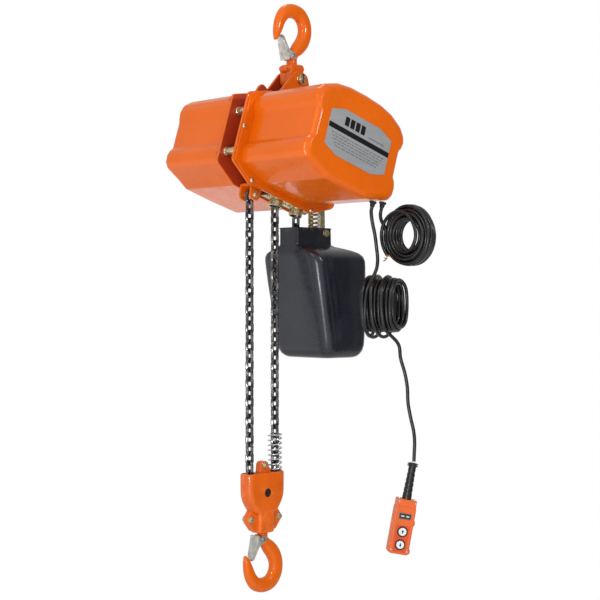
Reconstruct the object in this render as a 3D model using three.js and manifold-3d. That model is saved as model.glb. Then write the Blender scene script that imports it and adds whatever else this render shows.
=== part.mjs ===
// Two-fall electric chain hoist, hanging from its top hook.
// Millimetres. Origin: the seat inside the top hook's bowl. +Z up, +X along the hoist's body towards
// the control cover, +Y away from the hook tips.
import * as THREE from 'three';
import { mergeVertices } from 'three/addons/utils/BufferGeometryUtils.js';
import Module from 'manifold-3d';

const wasm = await Module();
wasm.setup();

// ---- driving dimensions ----
const GAP = 0.3;                    // clearance between touching pieces
const TILT = THREE.MathUtils.degToRad(17.4);   // lean of the unloaded body under its hook
const PIN_Z = -146;                 // suspension pin below the hook seat
const PIN_V = 138;                  // suspension pin in the body's own v, w plane
const PIN_W = 249;
const PLATE_INNER = 24;             // frame plates, half the space between them
const PLATE_OUTER = 30;
const BODY_V = 162;                 // middle of the frame plates
const COVER_V = 163;                // middle of the control cover
const CONTROL_END = 240;            // end face of the control cover
const MOTOR_END = -230;
const COVER_WALL = 3;
const WHEEL_V = 210;                // load wheel and motor axis
const WHEEL_W = 80;
const GEAR_MODULE = 2.25;
const OUTPUT_TEETH = 48;
const COUNTER_PINION_TEETH = 10;
const COUNTER_GEAR_TEETH = 45;
const MOTOR_PINION_TEETH = 13;
const COUNTER_V = WHEEL_V - GEAR_MODULE * (OUTPUT_TEETH + COUNTER_PINION_TEETH) / 2;
const CHAIN_WIRE = 7.1;
const CHAIN_WIDTH = 23.4;
const ANCHOR_Y = -130;              // plumb lines of the three chain falls
const LOAD_Y = -53;
const SLACK_Y = 13;
const ANCHOR_TOP = -425;
const LOAD_TOP = -445;
const SLACK_TOP = -466;
const SLACK_BOTTOM = -515;
const BLOCK_Y = (ANCHOR_Y + LOAD_Y) / 2;
const SHEAVE_Z = -1088;
const SHEAVE_PITCH = (LOAD_Y - ANCHOR_Y) / 2;
const BLOCK_TOP = 45;               // block outline, from the sheave axis
const BLOCK_BOTTOM = -91;
const LOAD_SEAT_Z = -1283;
const SHANK_RADIUS = 11.5;
const BUCKET_PIVOT = [0, 79.5, -496.5];
const CORD_RADIUS = 4;
const GLAND_X = 222;
const PENDANT_GLAND_V = 262;
const POWER_GLAND_V = 292;
const HANK_CENTRE = [222, 75, -650];
const HANK_TURN = THREE.MathUtils.degToRad(16.6);
const COIL_CENTRE = [277, 99, -508];
const PENDANT_TOP = [268.7, 98.4, -1094.5];
const PENDANT_LEAN = THREE.MathUtils.degToRad(10.6);
const PENDANT_TURN = THREE.MathUtils.degToRad(-36);
const PENDANT_SIZE = [46, 122, 38];

// ---- materials ----
const finish = (color, roughness, metalness) => (
  new THREE.MeshStandardMaterial({ color, roughness, metalness }));
const ORANGE = finish(0xe8641e, 0.25, 0.0);
const RED_SHADE = finish(0xb5301a, 0.4, 0.0);
const ZINC = finish(0xb9ae86, 0.35, 0.8);
const STEEL = finish(0x9a9ca0, 0.35, 0.9);
const BLACK_STEEL = finish(0x25262a, 0.35, 0.8);
const SLATE = finish(0x2f333d, 0.45, 0.0);
const RUBBER = finish(0x141417, 0.5, 0.0);
const COPPER = finish(0xa05a30, 0.4, 0.7);
const LABEL = finish(0xa9abad, 0.4, 0.5);
const WHITE = finish(0xdfe2e2, 0.4, 0.0);
const GREY = finish(0x6c7076, 0.5, 0.3);

// ---- geometry helpers ----
function closed(geometry) {
  const bare = geometry.clone();
  bare.deleteAttribute('normal');
  bare.deleteAttribute('uv');
  const merged = mergeVertices(bare, 1e-4);
  const position = merged.attributes.position;
  const corner = (i) => new THREE.Vector3().fromBufferAttribute(position, i);
  const faces = [];
  let volume = 0;
  for (let i = 0; i < merged.index.count; i += 3) {
    const [a, b, c] = [0, 1, 2].map((k) => merged.index.getX(i + k));
    if (a === b || b === c || c === a) continue;
    faces.push([a, b, c]);
    volume += corner(a).dot(corner(b).cross(corner(c)));
  }
  const ordered = volume < 0 ? faces.map(([a, b, c]) => [a, c, b]) : faces;
  merged.setIndex(ordered.flat());
  return merged;
}

function solid(geometry) {
  const body = closed(geometry);
  const vertProperties = new Float32Array(body.attributes.position.array);
  const triVerts = new Uint32Array(body.index.array);
  return new wasm.Manifold(new wasm.Mesh({ numProp: 3, vertProperties, triVerts }));
}

function geometryOf(manifold) {
  const mesh = manifold.getMesh();
  const geometry = new THREE.BufferGeometry();
  geometry.setAttribute('position', new THREE.BufferAttribute(new Float32Array(mesh.vertProperties), 3));
  geometry.setIndex(new THREE.BufferAttribute(new Uint32Array(mesh.triVerts), 1));
  return geometry;
}

const cut = (base, ...tools) => (
  geometryOf(tools.reduce((left, tool) => left.subtract(solid(tool)), solid(base))));
const join = (base, ...extras) => (
  geometryOf(extras.reduce((whole, extra) => whole.add(solid(extra)), solid(base))));
const common = (base, other) => geometryOf(solid(base).intersect(solid(other)));

// Corners are [a, b, radius]; each radius becomes an arc.
function rounded(corners, steps = 3) {
  const points = [];
  corners.forEach(([a, b, radius = 0], i) => {
    const here = new THREE.Vector2(a, b);
    if (!radius) {
      points.push(here);
      return;
    }
    const before = new THREE.Vector2(...corners.at(i - 1)).sub(here).normalize();
    const after = new THREE.Vector2(...corners[(i + 1) % corners.length]).sub(here).normalize();
    const half = Math.acos(THREE.MathUtils.clamp(before.dot(after), -1, 1)) / 2;
    const centre = before.clone().add(after).normalize().multiplyScalar(radius / Math.sin(half)).add(here);
    const from = before.multiplyScalar(radius / Math.tan(half)).add(here).sub(centre).angle();
    const to = after.multiplyScalar(radius / Math.tan(half)).add(here).sub(centre).angle();
    const sweep = THREE.MathUtils.euclideanModulo(to - from + Math.PI, 2 * Math.PI) - Math.PI;
    for (let k = 0; k <= steps; k += 1) {
      const angle = from + sweep * k / steps;
      const arm = new THREE.Vector2(Math.cos(angle), Math.sin(angle)).multiplyScalar(radius);
      points.push(arm.add(centre));
    }
  });
  return points;
}

function circle(a, b, radius, sides = 24) {
  return Array.from({ length: sides }, (_, k) => {
    const angle = 2 * Math.PI * (k + 0.5) / sides;
    return new THREE.Vector2(a + radius * Math.cos(angle), b + radius * Math.sin(angle));
  });
}

const rectangle = (a0, b0, a1, b1, radius = 0) => rounded([[a0, b0, radius], [a1, b0, radius],
  [a1, b1, radius], [a0, b1, radius]]);

// Where an outline's two directions and its extrusion point, for each axis.
const [X, Y, Z] = [[1, 0, 0], [0, 1, 0], [0, 0, 1]].map((v) => new THREE.Vector3(...v));
const DIRECTIONS = { x: [Y, Z, X], y: [X, Z, Y], z: [X, Y, Z] };

// Extrudes an outline along X (outline in y, z), along Y (outline in x, z) or along Z (outline in x, y).
function extrude(axis, outline, from, to, holes = []) {
  const shape = new THREE.Shape(outline);
  holes.forEach((hole) => shape.holes.push(new THREE.Path(hole)));
  const geometry = new THREE.ExtrudeGeometry(shape, { depth: to - from, bevelEnabled: false });
  return geometry.translate(0, 0, from).applyMatrix4(new THREE.Matrix4().makeBasis(...DIRECTIONS[axis]));
}

const block = (x0, y0, z0, x1, y1, z1) => extrude('z', rectangle(x0, y0, x1, y1), z0, z1);

// Revolves a [radius, height] profile about the named axis.
function revolve(axis, profile, sides, at = [0, 0, 0]) {
  const geometry = new THREE.LatheGeometry(profile.map(([r, h]) => new THREE.Vector2(r, h)), sides);
  if (axis === 'x') geometry.rotateZ(-Math.PI / 2);
  if (axis === 'z') geometry.rotateX(Math.PI / 2);
  return geometry.translate(...at);
}

const rod = (axis, radius, from, to, sides, at) => revolve(axis,
  [[0, from], [radius, from], [radius, to], [0, to]], sides, at);

const ringBar = (axis, inner, outer, from, to, sides, at) => revolve(axis,
  [[inner, from], [outer, from], [outer, to], [inner, to], [inner, from]], sides, at);

// Closed skin over a row of rings that all have the same number of points.
function loft(rings) {
  const count = rings[0].length;
  const centre = (ring) => ring.reduce((sum, p) => sum.add(p), new THREE.Vector3()).divideScalar(count);
  const points = [...rings.flat(), centre(rings[0]), centre(rings.at(-1))];
  const start = points.length - 2;
  const index = [];
  for (let i = 0; i < count; i += 1) {
    const next = (i + 1) % count;
    index.push(start, next, i);
    for (let k = 0; k + 1 < rings.length; k += 1) {
      const [a, b] = [k * count + i, k * count + next];
      index.push(a, b, b + count, a, b + count, a + count);
    }
    const last = (rings.length - 1) * count;
    index.push(start + 1, last + i, last + next);
  }
  const geometry = new THREE.BufferGeometry().setFromPoints(points);
  geometry.setIndex(index);
  return geometry;
}

function cordTube(points, radius) {
  const path = new THREE.CatmullRomCurve3(points.map((p) => new THREE.Vector3(...p)));
  const section = new THREE.Shape(circle(0, 0, radius, 8));
  const steps = Math.min(80, Math.ceil(path.getLength() / (5 * radius)));
  return new THREE.ExtrudeGeometry(section, { steps, extrudePath: path, bevelEnabled: false });
}

// ---- scene graph ----
const group = new THREE.Group();
const tilted = new THREE.Group();   // the hoist's body, in x, v, w, leaning about the suspension pin
tilted.position.set(0, 0, PIN_Z);
tilted.rotation.x = -TILT;
const body = new THREE.Group();
body.position.set(0, -PIN_V, -PIN_W);
tilted.add(body);
const pendant = new THREE.Group();
group.add(tilted, pendant);

function place(parent, name, geometry, material) {
  const mesh = new THREE.Mesh(closed(geometry), material);
  mesh.geometry.computeVertexNormals();
  mesh.name = name;
  parent.add(mesh);
}

// A point of the leaning body, in the hoist's own frame.
function bodyPoint(x, v, w) {
  const [y, z] = [v - PIN_V, w - PIN_W];
  const [c, s] = [Math.cos(TILT), Math.sin(TILT)];
  return [x, y * c + z * s, PIN_Z - y * s + z * c];
}

// ---- hooks ----
// Stations along the hook, from shank to tip: across, away from the shank, half radial, half side.
const HOOK_STATIONS = [
  [0, -130, 11.5, 11.5], [0, -112, 11.5, 11.5], [0, -98, 11.5, 11.5], [0.5, -90, 11.5, 11.5],
  [7, -80, 12.8, 12.3], [18, -69, 16.4, 12.8], [32.5, -52, 17.5, 13], [40.5, -32, 17, 13], [38.5, -9, 17, 13],
  [24, 10, 17, 13], [0, 16.5, 17, 13], [-22, 10, 15.5, 12], [-36.5, -8, 13.5, 11], [-43, -26, 11.5, 10],
  [-47.5, -42, 8, 8], [-51, -53, 4.4, 5],
];
const HOOK_SIDES = 12;
const HOOK_STEPS = 30;
const SEAT_FLAT = 0.5;

function hook() {
  const centre = new THREE.CatmullRomCurve3(HOOK_STATIONS.map(([a, h]) => new THREE.Vector3(0, a, h)));
  const sizes = new THREE.CatmullRomCurve3(HOOK_STATIONS.map(([, , r, s]) => new THREE.Vector3(r, s, 0)));
  const rings = [];
  for (let k = 0; k <= HOOK_STEPS; k += 1) {
    const t = k / HOOK_STEPS;
    const at = centre.getPoint(t);
    const along = centre.getTangent(t);
    const out = new THREE.Vector3(0, along.z, -along.y);
    const size = sizes.getPoint(t);
    rings.push(Array.from({ length: HOOK_SIDES }, (_, i) => {
      const angle = 2 * Math.PI * (i + 0.5) / HOOK_SIDES;
      return at.clone().addScaledVector(out, size.x * Math.cos(angle))
        .add(new THREE.Vector3(size.y * Math.sin(angle), 0, 0));
    }));
  }
  // The bowl's seat is ground flat.
  return cut(loft(rings), block(-8, -8, -12, 8, 8, SEAT_FLAT));
}

const LATCH_PIVOT = [-8, -90];
const LATCH_HALF = 14.8;
const LATCH_TIP_HALF = 8;
const LATCH_SHEET = 2;

function latch() {
  const side = rounded([[-22, -98], [-36, -54], [-35, -47, 3], [-29, -47, 3], [-2, -83, 4], [-2, -98, 4]]);
  const inside = rounded([[-19.6, -102], [-33.7, -54], [-33, -40], [12, -40], [12, -102]]);
  const taper = (inset) => [[-LATCH_HALF + inset, -102], [LATCH_HALF - inset, -102],
    [LATCH_HALF - inset, -80], [LATCH_TIP_HALF - inset, -46], [LATCH_TIP_HALF - inset, -38],
    [inset - LATCH_TIP_HALF, -38],
    [inset - LATCH_TIP_HALF, -46], [inset - LATCH_HALF, -80]].map((p) => new THREE.Vector2(...p));
  const sheet = common(extrude('x', side, -20, 20), extrude('y', taper(0), -60, 20));
  const hollow = common(extrude('x', inside, -20, 20), extrude('y', taper(LATCH_SHEET), -60, 20));
  return cut(sheet, hollow);
}

// Turns a hook's own frame (bowl upwards) over, for the load hook.
const hung = (geometry, y, z) => geometry.rotateY(Math.PI).translate(0, y, z);

function topHook() {
  place(group, 'top_hook', hook(), ORANGE);
  place(group, 'top_latch', latch(), STEEL);
  place(group, 'top_hook_nut', ringBar('z', SHANK_RADIUS + 2 * GAP, 15.5, -128, -116, 20), STEEL);
}

// ---- yoke that joins the top hook to the suspension pin ----
const YOKE_TOP = -109;
const YOKE_HALF = 20;
const YOKE_LOBE_HALF = 11;
const YOKE_BOLT = [23, -118];
const PIN_RADIUS = 9;

function yoke() {
  const outline = rounded([[-17, YOKE_TOP, 4], [-21, YOKE_TOP - 4, 5], [-20, -128, 4], [-19, -160, 12],
    [19, -160, 12], [20, -128, 4], [21, YOKE_TOP - 4, 5], [17, YOKE_TOP, 4]]);
  const lobes = rounded([[-27, YOKE_TOP - 1, 6], [-33, -117, 6], [-30, -127, 6], [30, -127, 6], [33, -117, 6],
    [27, YOKE_TOP - 1, 6]]);
  const cavity = rod('z', 16.5, -131.5, -114, 16);
  const shank = rod('z', SHANK_RADIUS + 0.6, -120, -100, 16);
  const pinHole = rod('x', PIN_RADIUS + GAP, -30, 30, 16, [0, 0, PIN_Z]);
  const boltHoles = [-1, 1].map((side) => (
    rod('x', 4 + GAP, -30, 30, 12, [0, side * YOKE_BOLT[0], YOKE_BOLT[1]])));
  const span = (side, reach) => (side > 0 ? [GAP / 2, reach] : [-reach, -GAP / 2]);
  const half = (side) => join(extrude('x', outline, ...span(side, YOKE_HALF)),
    extrude('x', lobes, ...span(side, YOKE_LOBE_HALF)));
  place(group, 'yoke_left_half', cut(half(-1), cavity, shank, pinHole, ...boltHoles), ORANGE);
  place(group, 'yoke_right_half', cut(half(1), cavity, shank, pinHole, ...boltHoles), ORANGE);
  place(group, 'suspension_pin', revolve('x', [[0, -37], [15, -37], [15, -PLATE_OUTER - GAP],
    [PIN_RADIUS, -PLATE_OUTER - GAP], [PIN_RADIUS, 44], [0, 44]], 16, [0, 0, PIN_Z]), RED_SHADE);
  const nut = ringBar('x', PIN_RADIUS + 2 * GAP, 14, PLATE_OUTER + GAP, 40, 18, [0, 0, PIN_Z]);
  place(group, 'pin_nut', nut, ZINC);
}

// ---- frame ----
const SPACERS = {
  front_upper: [25, 130], front_lower: [18, 30], rear_upper: [299, 130], rear_lower: [306, 30],
};

function plateOutline(lobe) {
  const front = lobe ? [[60, 190], [68, 211, 9], [80, 226, 9], [92, 208, 4]] : [[62, 190, 6], [84, 194, 4]];
  return rounded([[0, 0, 8], [62, -34, 6], [262, -34, 6], [324, 0, 8], [324, 162, 8], [262, 191, 6],
    [198, 192, 4], [156, 268, 17], [120, 268, 17], ...front.reverse(), [0, 162, 8]]);
}

function frame() {
  const holes = [circle(PIN_V, PIN_W, PIN_RADIUS + GAP, 20), circle(WHEEL_V, WHEEL_W, 21, 24)];
  const left = extrude('x', plateOutline(true), -PLATE_OUTER, -PLATE_INNER, holes);
  const right = extrude('x', plateOutline(false), PLATE_INNER, PLATE_OUTER, holes);
  place(body, 'frame_plate_left', left, ORANGE);
  place(body, 'frame_plate_right', right, ORANGE);
  Object.entries(SPACERS).forEach(([where, [v, w]]) => {
    const reach = PLATE_INNER - GAP;
    place(body, `spacer_${where}`, rod('x', 9.5, -reach, reach, 16, [0, v, w]), ZINC);
  });
}

// ---- covers ----
// Half outlines from the top middle round to the bottom middle: distance from the middle, height.
const CONTROL_PROFILE = [[0, 199], [50, 197], [88, 190], [122, 174], [138, 158], [143, 143], [140, 128],
  [134, 118], [134, 52], [141, 42], [145, 30], [144, 14], [136, 3], [100, -9], [64, -20], [0, -21]];
const MOTOR_PROFILE = [[0, 199], [55, 197], [95, 190], [128, 176], [146, 160], [151, 143], [150, 128],
  [147, 117], [147, 52], [154, 42], [158, 30], [157, 14], [148, 1], [110, -13], [82, -26], [0, -28]];
const FLANGE_PROFILE = [[0, 201], [50, 199], [88, 192], [122, 178], [150, 165], [160, 158], [160, 128],
  [160, 117], [160, 52], [160, 42], [160, 30], [160, 14], [158, 3], [130, -15], [99, -32], [0, -32]];
const PROFILE_MIDDLE_W = 87;
const END_ROUND = 16;
const FLANGE = 4;

function coverRing(profile, centreV, x, inset) {
  const shrink = 1 - inset / 110;
  const grow = (s, w) => [s * (1 - inset / 150), PROFILE_MIDDLE_W + (w - PROFILE_MIDDLE_W) * shrink];
  const front = profile.map(([s, w]) => [-1, ...grow(s, w)]);
  const rear = profile.slice(1, -1).reverse().map(([s, w]) => [1, ...grow(s, w)]);
  return [...front, ...rear].map(([side, s, w]) => new THREE.Vector3(x, centreV + side * s, w));
}

function cover(profile, centreV, side, end) {
  const plate = side * (PLATE_OUTER + GAP);
  const shell = (x, inset) => coverRing(profile, centreV, x, inset);
  const roundOff = [0, 0.35, 0.7, 1].map((t) => {
    const angle = t * Math.PI / 2;
    return shell(end - side * END_ROUND * (1 - Math.sin(angle)), END_ROUND * (1 - Math.cos(angle)));
  });
  return loft([
    shell(end - side * COVER_WALL, END_ROUND), shell(end - side * (COVER_WALL + 6), END_ROUND - 8),
    shell(end - side * END_ROUND, COVER_WALL), shell(plate, COVER_WALL),
    coverRing(FLANGE_PROFILE, centreV, plate, 1),
    coverRing(FLANGE_PROFILE, centreV, plate + side * FLANGE, 1),
    shell(plate + side * FLANGE, 0), ...roundOff,
  ]);
}

function covers() {
  place(body, 'motor_cover', cover(MOTOR_PROFILE, BODY_V, -1, MOTOR_END), ORANGE);
  place(body, 'control_cover', cover(CONTROL_PROFILE, COVER_V, 1, CONTROL_END), ORANGE);
  const [halfV, halfW, cutV, cutW] = [97, 53.5, 40, 14];
  const corner = (sv, sw) => [[sv * halfV, sw * (halfW - cutW)], [sv * (halfV - cutV), sw * halfW]];
  const outline = [corner(-1, -1), corner(1, -1).reverse(), corner(1, 1), corner(-1, 1).reverse()].flat()
    .map(([v, w]) => new THREE.Vector2(BODY_V + v, PROFILE_MIDDLE_W + w));
  place(body, 'rating_plate', extrude('x', outline, CONTROL_END + GAP, CONTROL_END + 1.3), LABEL);
}

// ---- drive inside the body ----
// Tooth k is centred at phase + k steps; angles run from v towards w.
function gearOutline(teeth, phase) {
  const pitch = teeth * GEAR_MODULE / 2;
  const [tip, root] = [pitch + 0.8 * GEAR_MODULE, pitch - 1.05 * GEAR_MODULE];
  const corners = [[root, -0.28], [tip, -0.12], [tip, 0.12], [root, 0.28]];
  return Array.from({ length: teeth }, (_, k) => corners.map(([r, part]) => {
    const angle = phase + 2 * Math.PI * (k + part) / teeth;
    return new THREE.Vector2(r * Math.cos(angle), r * Math.sin(angle));
  })).flat();
}

const SHAFT_RADIUS = 8;
const HUB_RADIUS = 16;

function drive() {
  const wheelAt = [0, WHEEL_V, WHEEL_W];
  const counterAt = [0, COUNTER_V, WHEEL_W];
  const wheelProfile = [[11, -36], [HUB_RADIUS, -36], [20.5, -31], [20.5, -22.5], [42, -22.5], [42, -9],
    [27, -4], [27, 4], [42, 9], [42, 22.5], [20.5, 22.5], [20.5, 31], [HUB_RADIUS, 36], [HUB_RADIUS, 53],
    [11, 53], [11, -36]];
  place(body, 'load_wheel', revolve('x', wheelProfile, 20, wheelAt), BLACK_STEEL);
  const gearBore = [circle(0, 0, HUB_RADIUS + GAP, 20)];
  const outputGear = extrude('x', gearOutline(OUTPUT_TEETH, Math.PI), 39, 51, gearBore);
  place(body, 'output_gear', outputGear.translate(...wheelAt), STEEL);
  const pinionOutline = gearOutline(COUNTER_PINION_TEETH, Math.PI / COUNTER_PINION_TEETH);
  const counterPinion = extrude('x', pinionOutline, 38, 56);
  const counterGear = extrude('x', gearOutline(COUNTER_GEAR_TEETH, 0), 56, 68);
  const counterShaft = rod('x', 7, 34, 76, 12);
  place(body, 'counter_gear', join(counterGear, counterPinion, counterShaft).translate(...counterAt), STEEL);
  const motorPinion = extrude('x', gearOutline(MOTOR_PINION_TEETH, 0), 57, 70);
  const rotor = revolve('x', [[0, -190], [SHAFT_RADIUS, -190], [SHAFT_RADIUS, -146], [38, -146], [38, -56],
    [SHAFT_RADIUS, -56], [SHAFT_RADIUS, 76], [0, 76]], 20);
  place(body, 'motor_rotor', join(rotor, motorPinion).translate(...wheelAt), STEEL);
  place(body, 'motor_stator', ringBar('x', 39.5, 76, -150, -38, 24, wheelAt), COPPER);
  place(body, 'brake_unit', ringBar('x', 10, 62, -184, -153, 20, wheelAt), GREY);
  const caseOutline = rectangle(72, 12, 276, 148, 30);
  const caseInside = rectangle(77, 17, 271, 143, 26);
  const gearCase = cut(extrude('x', caseOutline, PLATE_OUTER + GAP, 84),
    extrude('x', caseInside, PLATE_OUTER - 5, 79));
  place(body, 'gear_case', gearCase, GREY);
  place(body, 'control_panel', extrude('x', rectangle(56, 8, 268, 162, 8), 88, 91), GREY);
  place(body, 'contactor', extrude('x', rectangle(80, 40, 150, 120), 91 + GAP, 160), RUBBER);
}

// ---- chain exits under the body ----
const EXIT_W = -46;                 // lower face of the chain guides
const PLATE_BOTTOM_W = -34;
const ANCHOR_V = 94;

function chainExits() {
  const reach = PLATE_INNER - GAP;
  const guide = (name, v) => {
    const flange = extrude('z', rectangle(-reach, v - 32, reach, v + 32), -30, -25);
    const boss = rod('z', 16, EXIT_W, -26, 20, [0, v, 0]);
    const hole = rod('z', 12.6, EXIT_W - 5, -20, 16, [0, v, 0]);
    place(body, name, cut(join(flange, boss), hole), ZINC);
  };
  guide('load_chain_guide', 175);
  guide('slack_chain_guide', 241);
  const cheekOutline = rounded([[ANCHOR_V - 17, PLATE_BOTTOM_W + 9], [ANCHOR_V - 13, -60, 11],
    [ANCHOR_V + 13, -60, 11], [ANCHOR_V + 17, PLATE_BOTTOM_W + 9]]);
  const bracket = cut(extrude('x', cheekOutline, -20, 20),
    block(-15, ANCHOR_V - 30, -70, 15, ANCHOR_V + 30, -31),
    rod('x', 5.4, -25, 25, 12, [0, ANCHOR_V, -47]));
  place(body, 'anchor_bracket', bracket, ORANGE);
  const half = 20 + GAP;
  place(body, 'anchor_bolt', revolve('x', [[0, -half - 7], [8.5, -half - 7], [8.5, -half], [5, -half],
    [5, half], [8.5, half], [8.5, half + 6], [0, half + 6]], 12, [0, ANCHOR_V, -47]), ZINC);
}

// ---- chain falls: plain cross-section bars in the space that the links fill ----
function chainBar(name, y, from, to) {
  const [wide, thin] = [CHAIN_WIDTH / 2, CHAIN_WIRE / 2];
  const quarter = [[wide, -thin], [wide, thin], [thin, thin]];
  const outline = [0, 1, 2, 3].flatMap((turn) => quarter.map(([a, b]) => new THREE.Vector2(a, b)
    .rotateAround(new THREE.Vector2(), turn * Math.PI / 2)));
  place(group, name, extrude('z', outline, to, from).translate(0, y, 0), BLACK_STEEL);
}

function chains() {
  chainBar('anchored_chain', ANCHOR_Y, ANCHOR_TOP, SHEAVE_Z + BLOCK_TOP + GAP);
  chainBar('load_chain', LOAD_Y, LOAD_TOP, SHEAVE_Z + BLOCK_TOP + GAP);
  chainBar('slack_chain', SLACK_Y, SLACK_TOP, SLACK_BOTTOM);
  const heap = [[0, -768], [34, -768], [46, -755], [42, -700], [24, -672], [0, -668]];
  place(group, 'stored_chain', revolve('z', heap, 12, [0, 92, 0]), BLACK_STEEL);
}

// ---- load block ----
const BLOCK_HALF = 20;
const BLOCK_WALL = 5;
const BLOCK_WIDE = 56.5;
const SHEAVE_PIN_RADIUS = 8;
const BLOCK_BOLTS = { front: [-42, -58], rear: [42, -58], upper: [0, 61] };
const BLOCK_EAR = 9;

function blockHalf(side) {
  const span = (inner, outer) => (side > 0 ? [inner, outer] : [-outer, -inner]);
  const upper = rounded([[-BLOCK_WIDE, BLOCK_TOP, 2], [-BLOCK_WIDE, -8, 30], [-36, -42, 4], [36, -42, 4],
    [BLOCK_WIDE, -8, 30], [BLOCK_WIDE, BLOCK_TOP, 2]]);
  const plan = rectangle(-BLOCK_WIDE, -BLOCK_HALF, BLOCK_WIDE, BLOCK_HALF, BLOCK_HALF - 1)
    .map((p) => new THREE.Vector2(-p.y, p.x));
  const housing = common(extrude('x', upper, ...span(GAP / 2, BLOCK_HALF)), extrude('z', plan, -60, 60));
  const swivelPlan = circle(0, 0, BLOCK_HALF + 1, 24);
  const swivel = common(extrude('x', rectangle(-24, BLOCK_BOTTOM, 24, -30), ...span(GAP / 2, BLOCK_HALF)),
    extrude('z', swivelPlan, -120, -20));
  const ears = extrude('x', rounded([[-34, -30], [-50, -52, 5], [-49, -66, 5], [-30, BLOCK_BOTTOM + 6, 5],
    [30, BLOCK_BOTTOM + 6, 5], [49, -66, 5], [50, -52, 5], [34, -30]]), ...span(GAP / 2, BLOCK_EAR));
  const lugOutline = rounded([[-22, 38], [-14, 71, 9], [14, 71, 9], [22, 38]]);
  const topLug = extrude('x', lugOutline, ...span(GAP / 2, BLOCK_EAR));
  const room = BLOCK_HALF - BLOCK_WALL;
  const sheaveRoom = geometryOf(solid(rod('x', 52, -room, room, 32))
    .subtract(solid(extrude('x', rectangle(-17, 43, 17, 80), -room - 1, room + 1))));
  const passages = [-1, 1].map((end) => end * SHEAVE_PITCH)
    .map((y) => block(-room, y - 13.2, 0, room, y + 13.2, 60));
  const nutRoom = rod('z', 17, -71, -53, 20);
  const shankHole = rod('z', SHANK_RADIUS + 0.6, -100, -60, 20);
  const pinHole = rod('x', SHEAVE_PIN_RADIUS + GAP, -30, 30, 16);
  const boltHoles = Object.values(BLOCK_BOLTS).map(([y, z]) => rod('x', 4 + GAP, -30, 30, 12, [0, y, z]));
  const shell = geometryOf(solid(housing).add(solid(swivel)).add(solid(ears)).add(solid(topLug)));
  return cut(shell, sheaveRoom, ...passages, nutRoom, shankHole, pinHole, ...boltHoles);
}

function loadBlock() {
  const at = [0, BLOCK_Y, SHEAVE_Z];
  place(group, 'block_half_left', blockHalf(-1).translate(...at), ORANGE);
  place(group, 'block_half_right', blockHalf(1).translate(...at), ORANGE);
  const bore = SHEAVE_PIN_RADIUS + GAP;
  place(group, 'sheave', revolve('x', [[bore, -12], [16, -12], [16, -10], [41, -10], [41, -6], [28, -3.5],
    [28, 3.5], [41, 6], [41, 10], [16, 10], [16, 12], [bore, 12], [bore, -12]], 24, at), STEEL);
  place(group, 'sheave_pin', rod('x', SHEAVE_PIN_RADIUS, -18, 18, 16, at), BLACK_STEEL);
  Object.entries(BLOCK_BOLTS).forEach(([where, [y, z]]) => {
    const reach = BLOCK_EAR + GAP;
    const bolt = revolve('x', [[0, -reach - 6], [7.5, -reach - 6], [7.5, -reach], [4, -reach], [4, reach],
      [7.5, reach], [7.5, reach + 6], [0, reach + 6]], 12, [0, BLOCK_Y + y, SHEAVE_Z + z]);
    place(group, `block_bolt_${where}`, bolt, ZINC);
  });
  const springFoot = SHEAVE_Z + BLOCK_TOP + GAP;
  const spring = ringBar('z', 13.5, 17, springFoot, springFoot + 84, 16, [0, LOAD_Y, 0]);
  place(group, 'buffer_spring', spring, STEEL);
  place(group, 'block_hook', hung(hook(), BLOCK_Y, LOAD_SEAT_Z), ORANGE);
  place(group, 'block_latch', hung(latch(), BLOCK_Y, LOAD_SEAT_Z), STEEL);
  const nutFoot = LOAD_SEAT_Z + 125;
  const nut = ringBar('z', SHANK_RADIUS + 2 * GAP, 16, nutFoot, nutFoot + 11, 20, [0, BLOCK_Y, 0]);
  place(group, 'block_hook_nut', nut, STEEL);
}

// ---- chain bucket ----
// Rings of the bucket: height, half width in X, front Y, rear Y, corner radius.
const BUCKET_RINGS = [
  [-484.5, 31, -11, 99, 5], [-525, 31, -11, 100, 6], [-532, 54, -12.5, 124, 16], [-543, 82, -14.5, 151, 26],
  [-558, 94, -12, 160, 29], [-640, 95, 4, 161, 29], [-740, 92, 24, 161, 27], [-772, 89, 29, 158, 26],
  [-787, 72, 45, 144, 20],
];
const BUCKET_WALL = 3;

function bucketRing([z, half, front, rear, corner], inset) {
  const outline = rounded([[-half + inset, front + inset, corner], [half - inset, front + inset, corner],
    [half - inset, rear - inset, corner], [-half + inset, rear - inset, corner]], 4);
  return outline.map((p) => new THREE.Vector3(p.x, p.y, z));
}

function bucket() {
  const outside = BUCKET_RINGS.map((ring) => bucketRing(ring, 0));
  const inside = BUCKET_RINGS.map((ring, i) => bucketRing(
    i === BUCKET_RINGS.length - 1 ? [ring[0] + BUCKET_WALL, ...ring.slice(1)] : ring, BUCKET_WALL)).reverse();
  const [px, py, pz] = BUCKET_PIVOT;
  const shell = cut(loft([...inside, ...outside]), rod('x', 5.4, -60, 60, 12, [px, py, pz]));
  place(group, 'chain_bucket', shell, SLATE);
  const half = 31 + GAP;
  place(group, 'bucket_bolt', revolve('x', [[0, -half - 7], [8.5, -half - 7], [8.5, -half], [5, -half],
    [5, half], [8.5, half], [8.5, half + 7], [0, half + 7]], 12, [px, py, pz]), ZINC);
  const straps = cut(block(-21, py - 12, -508, 21, py + 12, -431),
    block(-18, py - 20, -520, 18, py + 20, -434),
    rod('x', 5.4, -30, 30, 12, [px, py, pz]));
  place(group, 'bucket_hanger', straps, ZINC);
}

// ---- cords and pendant ----
const GLAND_RADIUS = 9;
const GLAND_LENGTH = 12;

function gland(name, v, top) {
  place(body, name, rod('z', GLAND_RADIUS, top - GLAND_LENGTH, top, 16, [GLAND_X, v, 0]), RUBBER);
}

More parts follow.
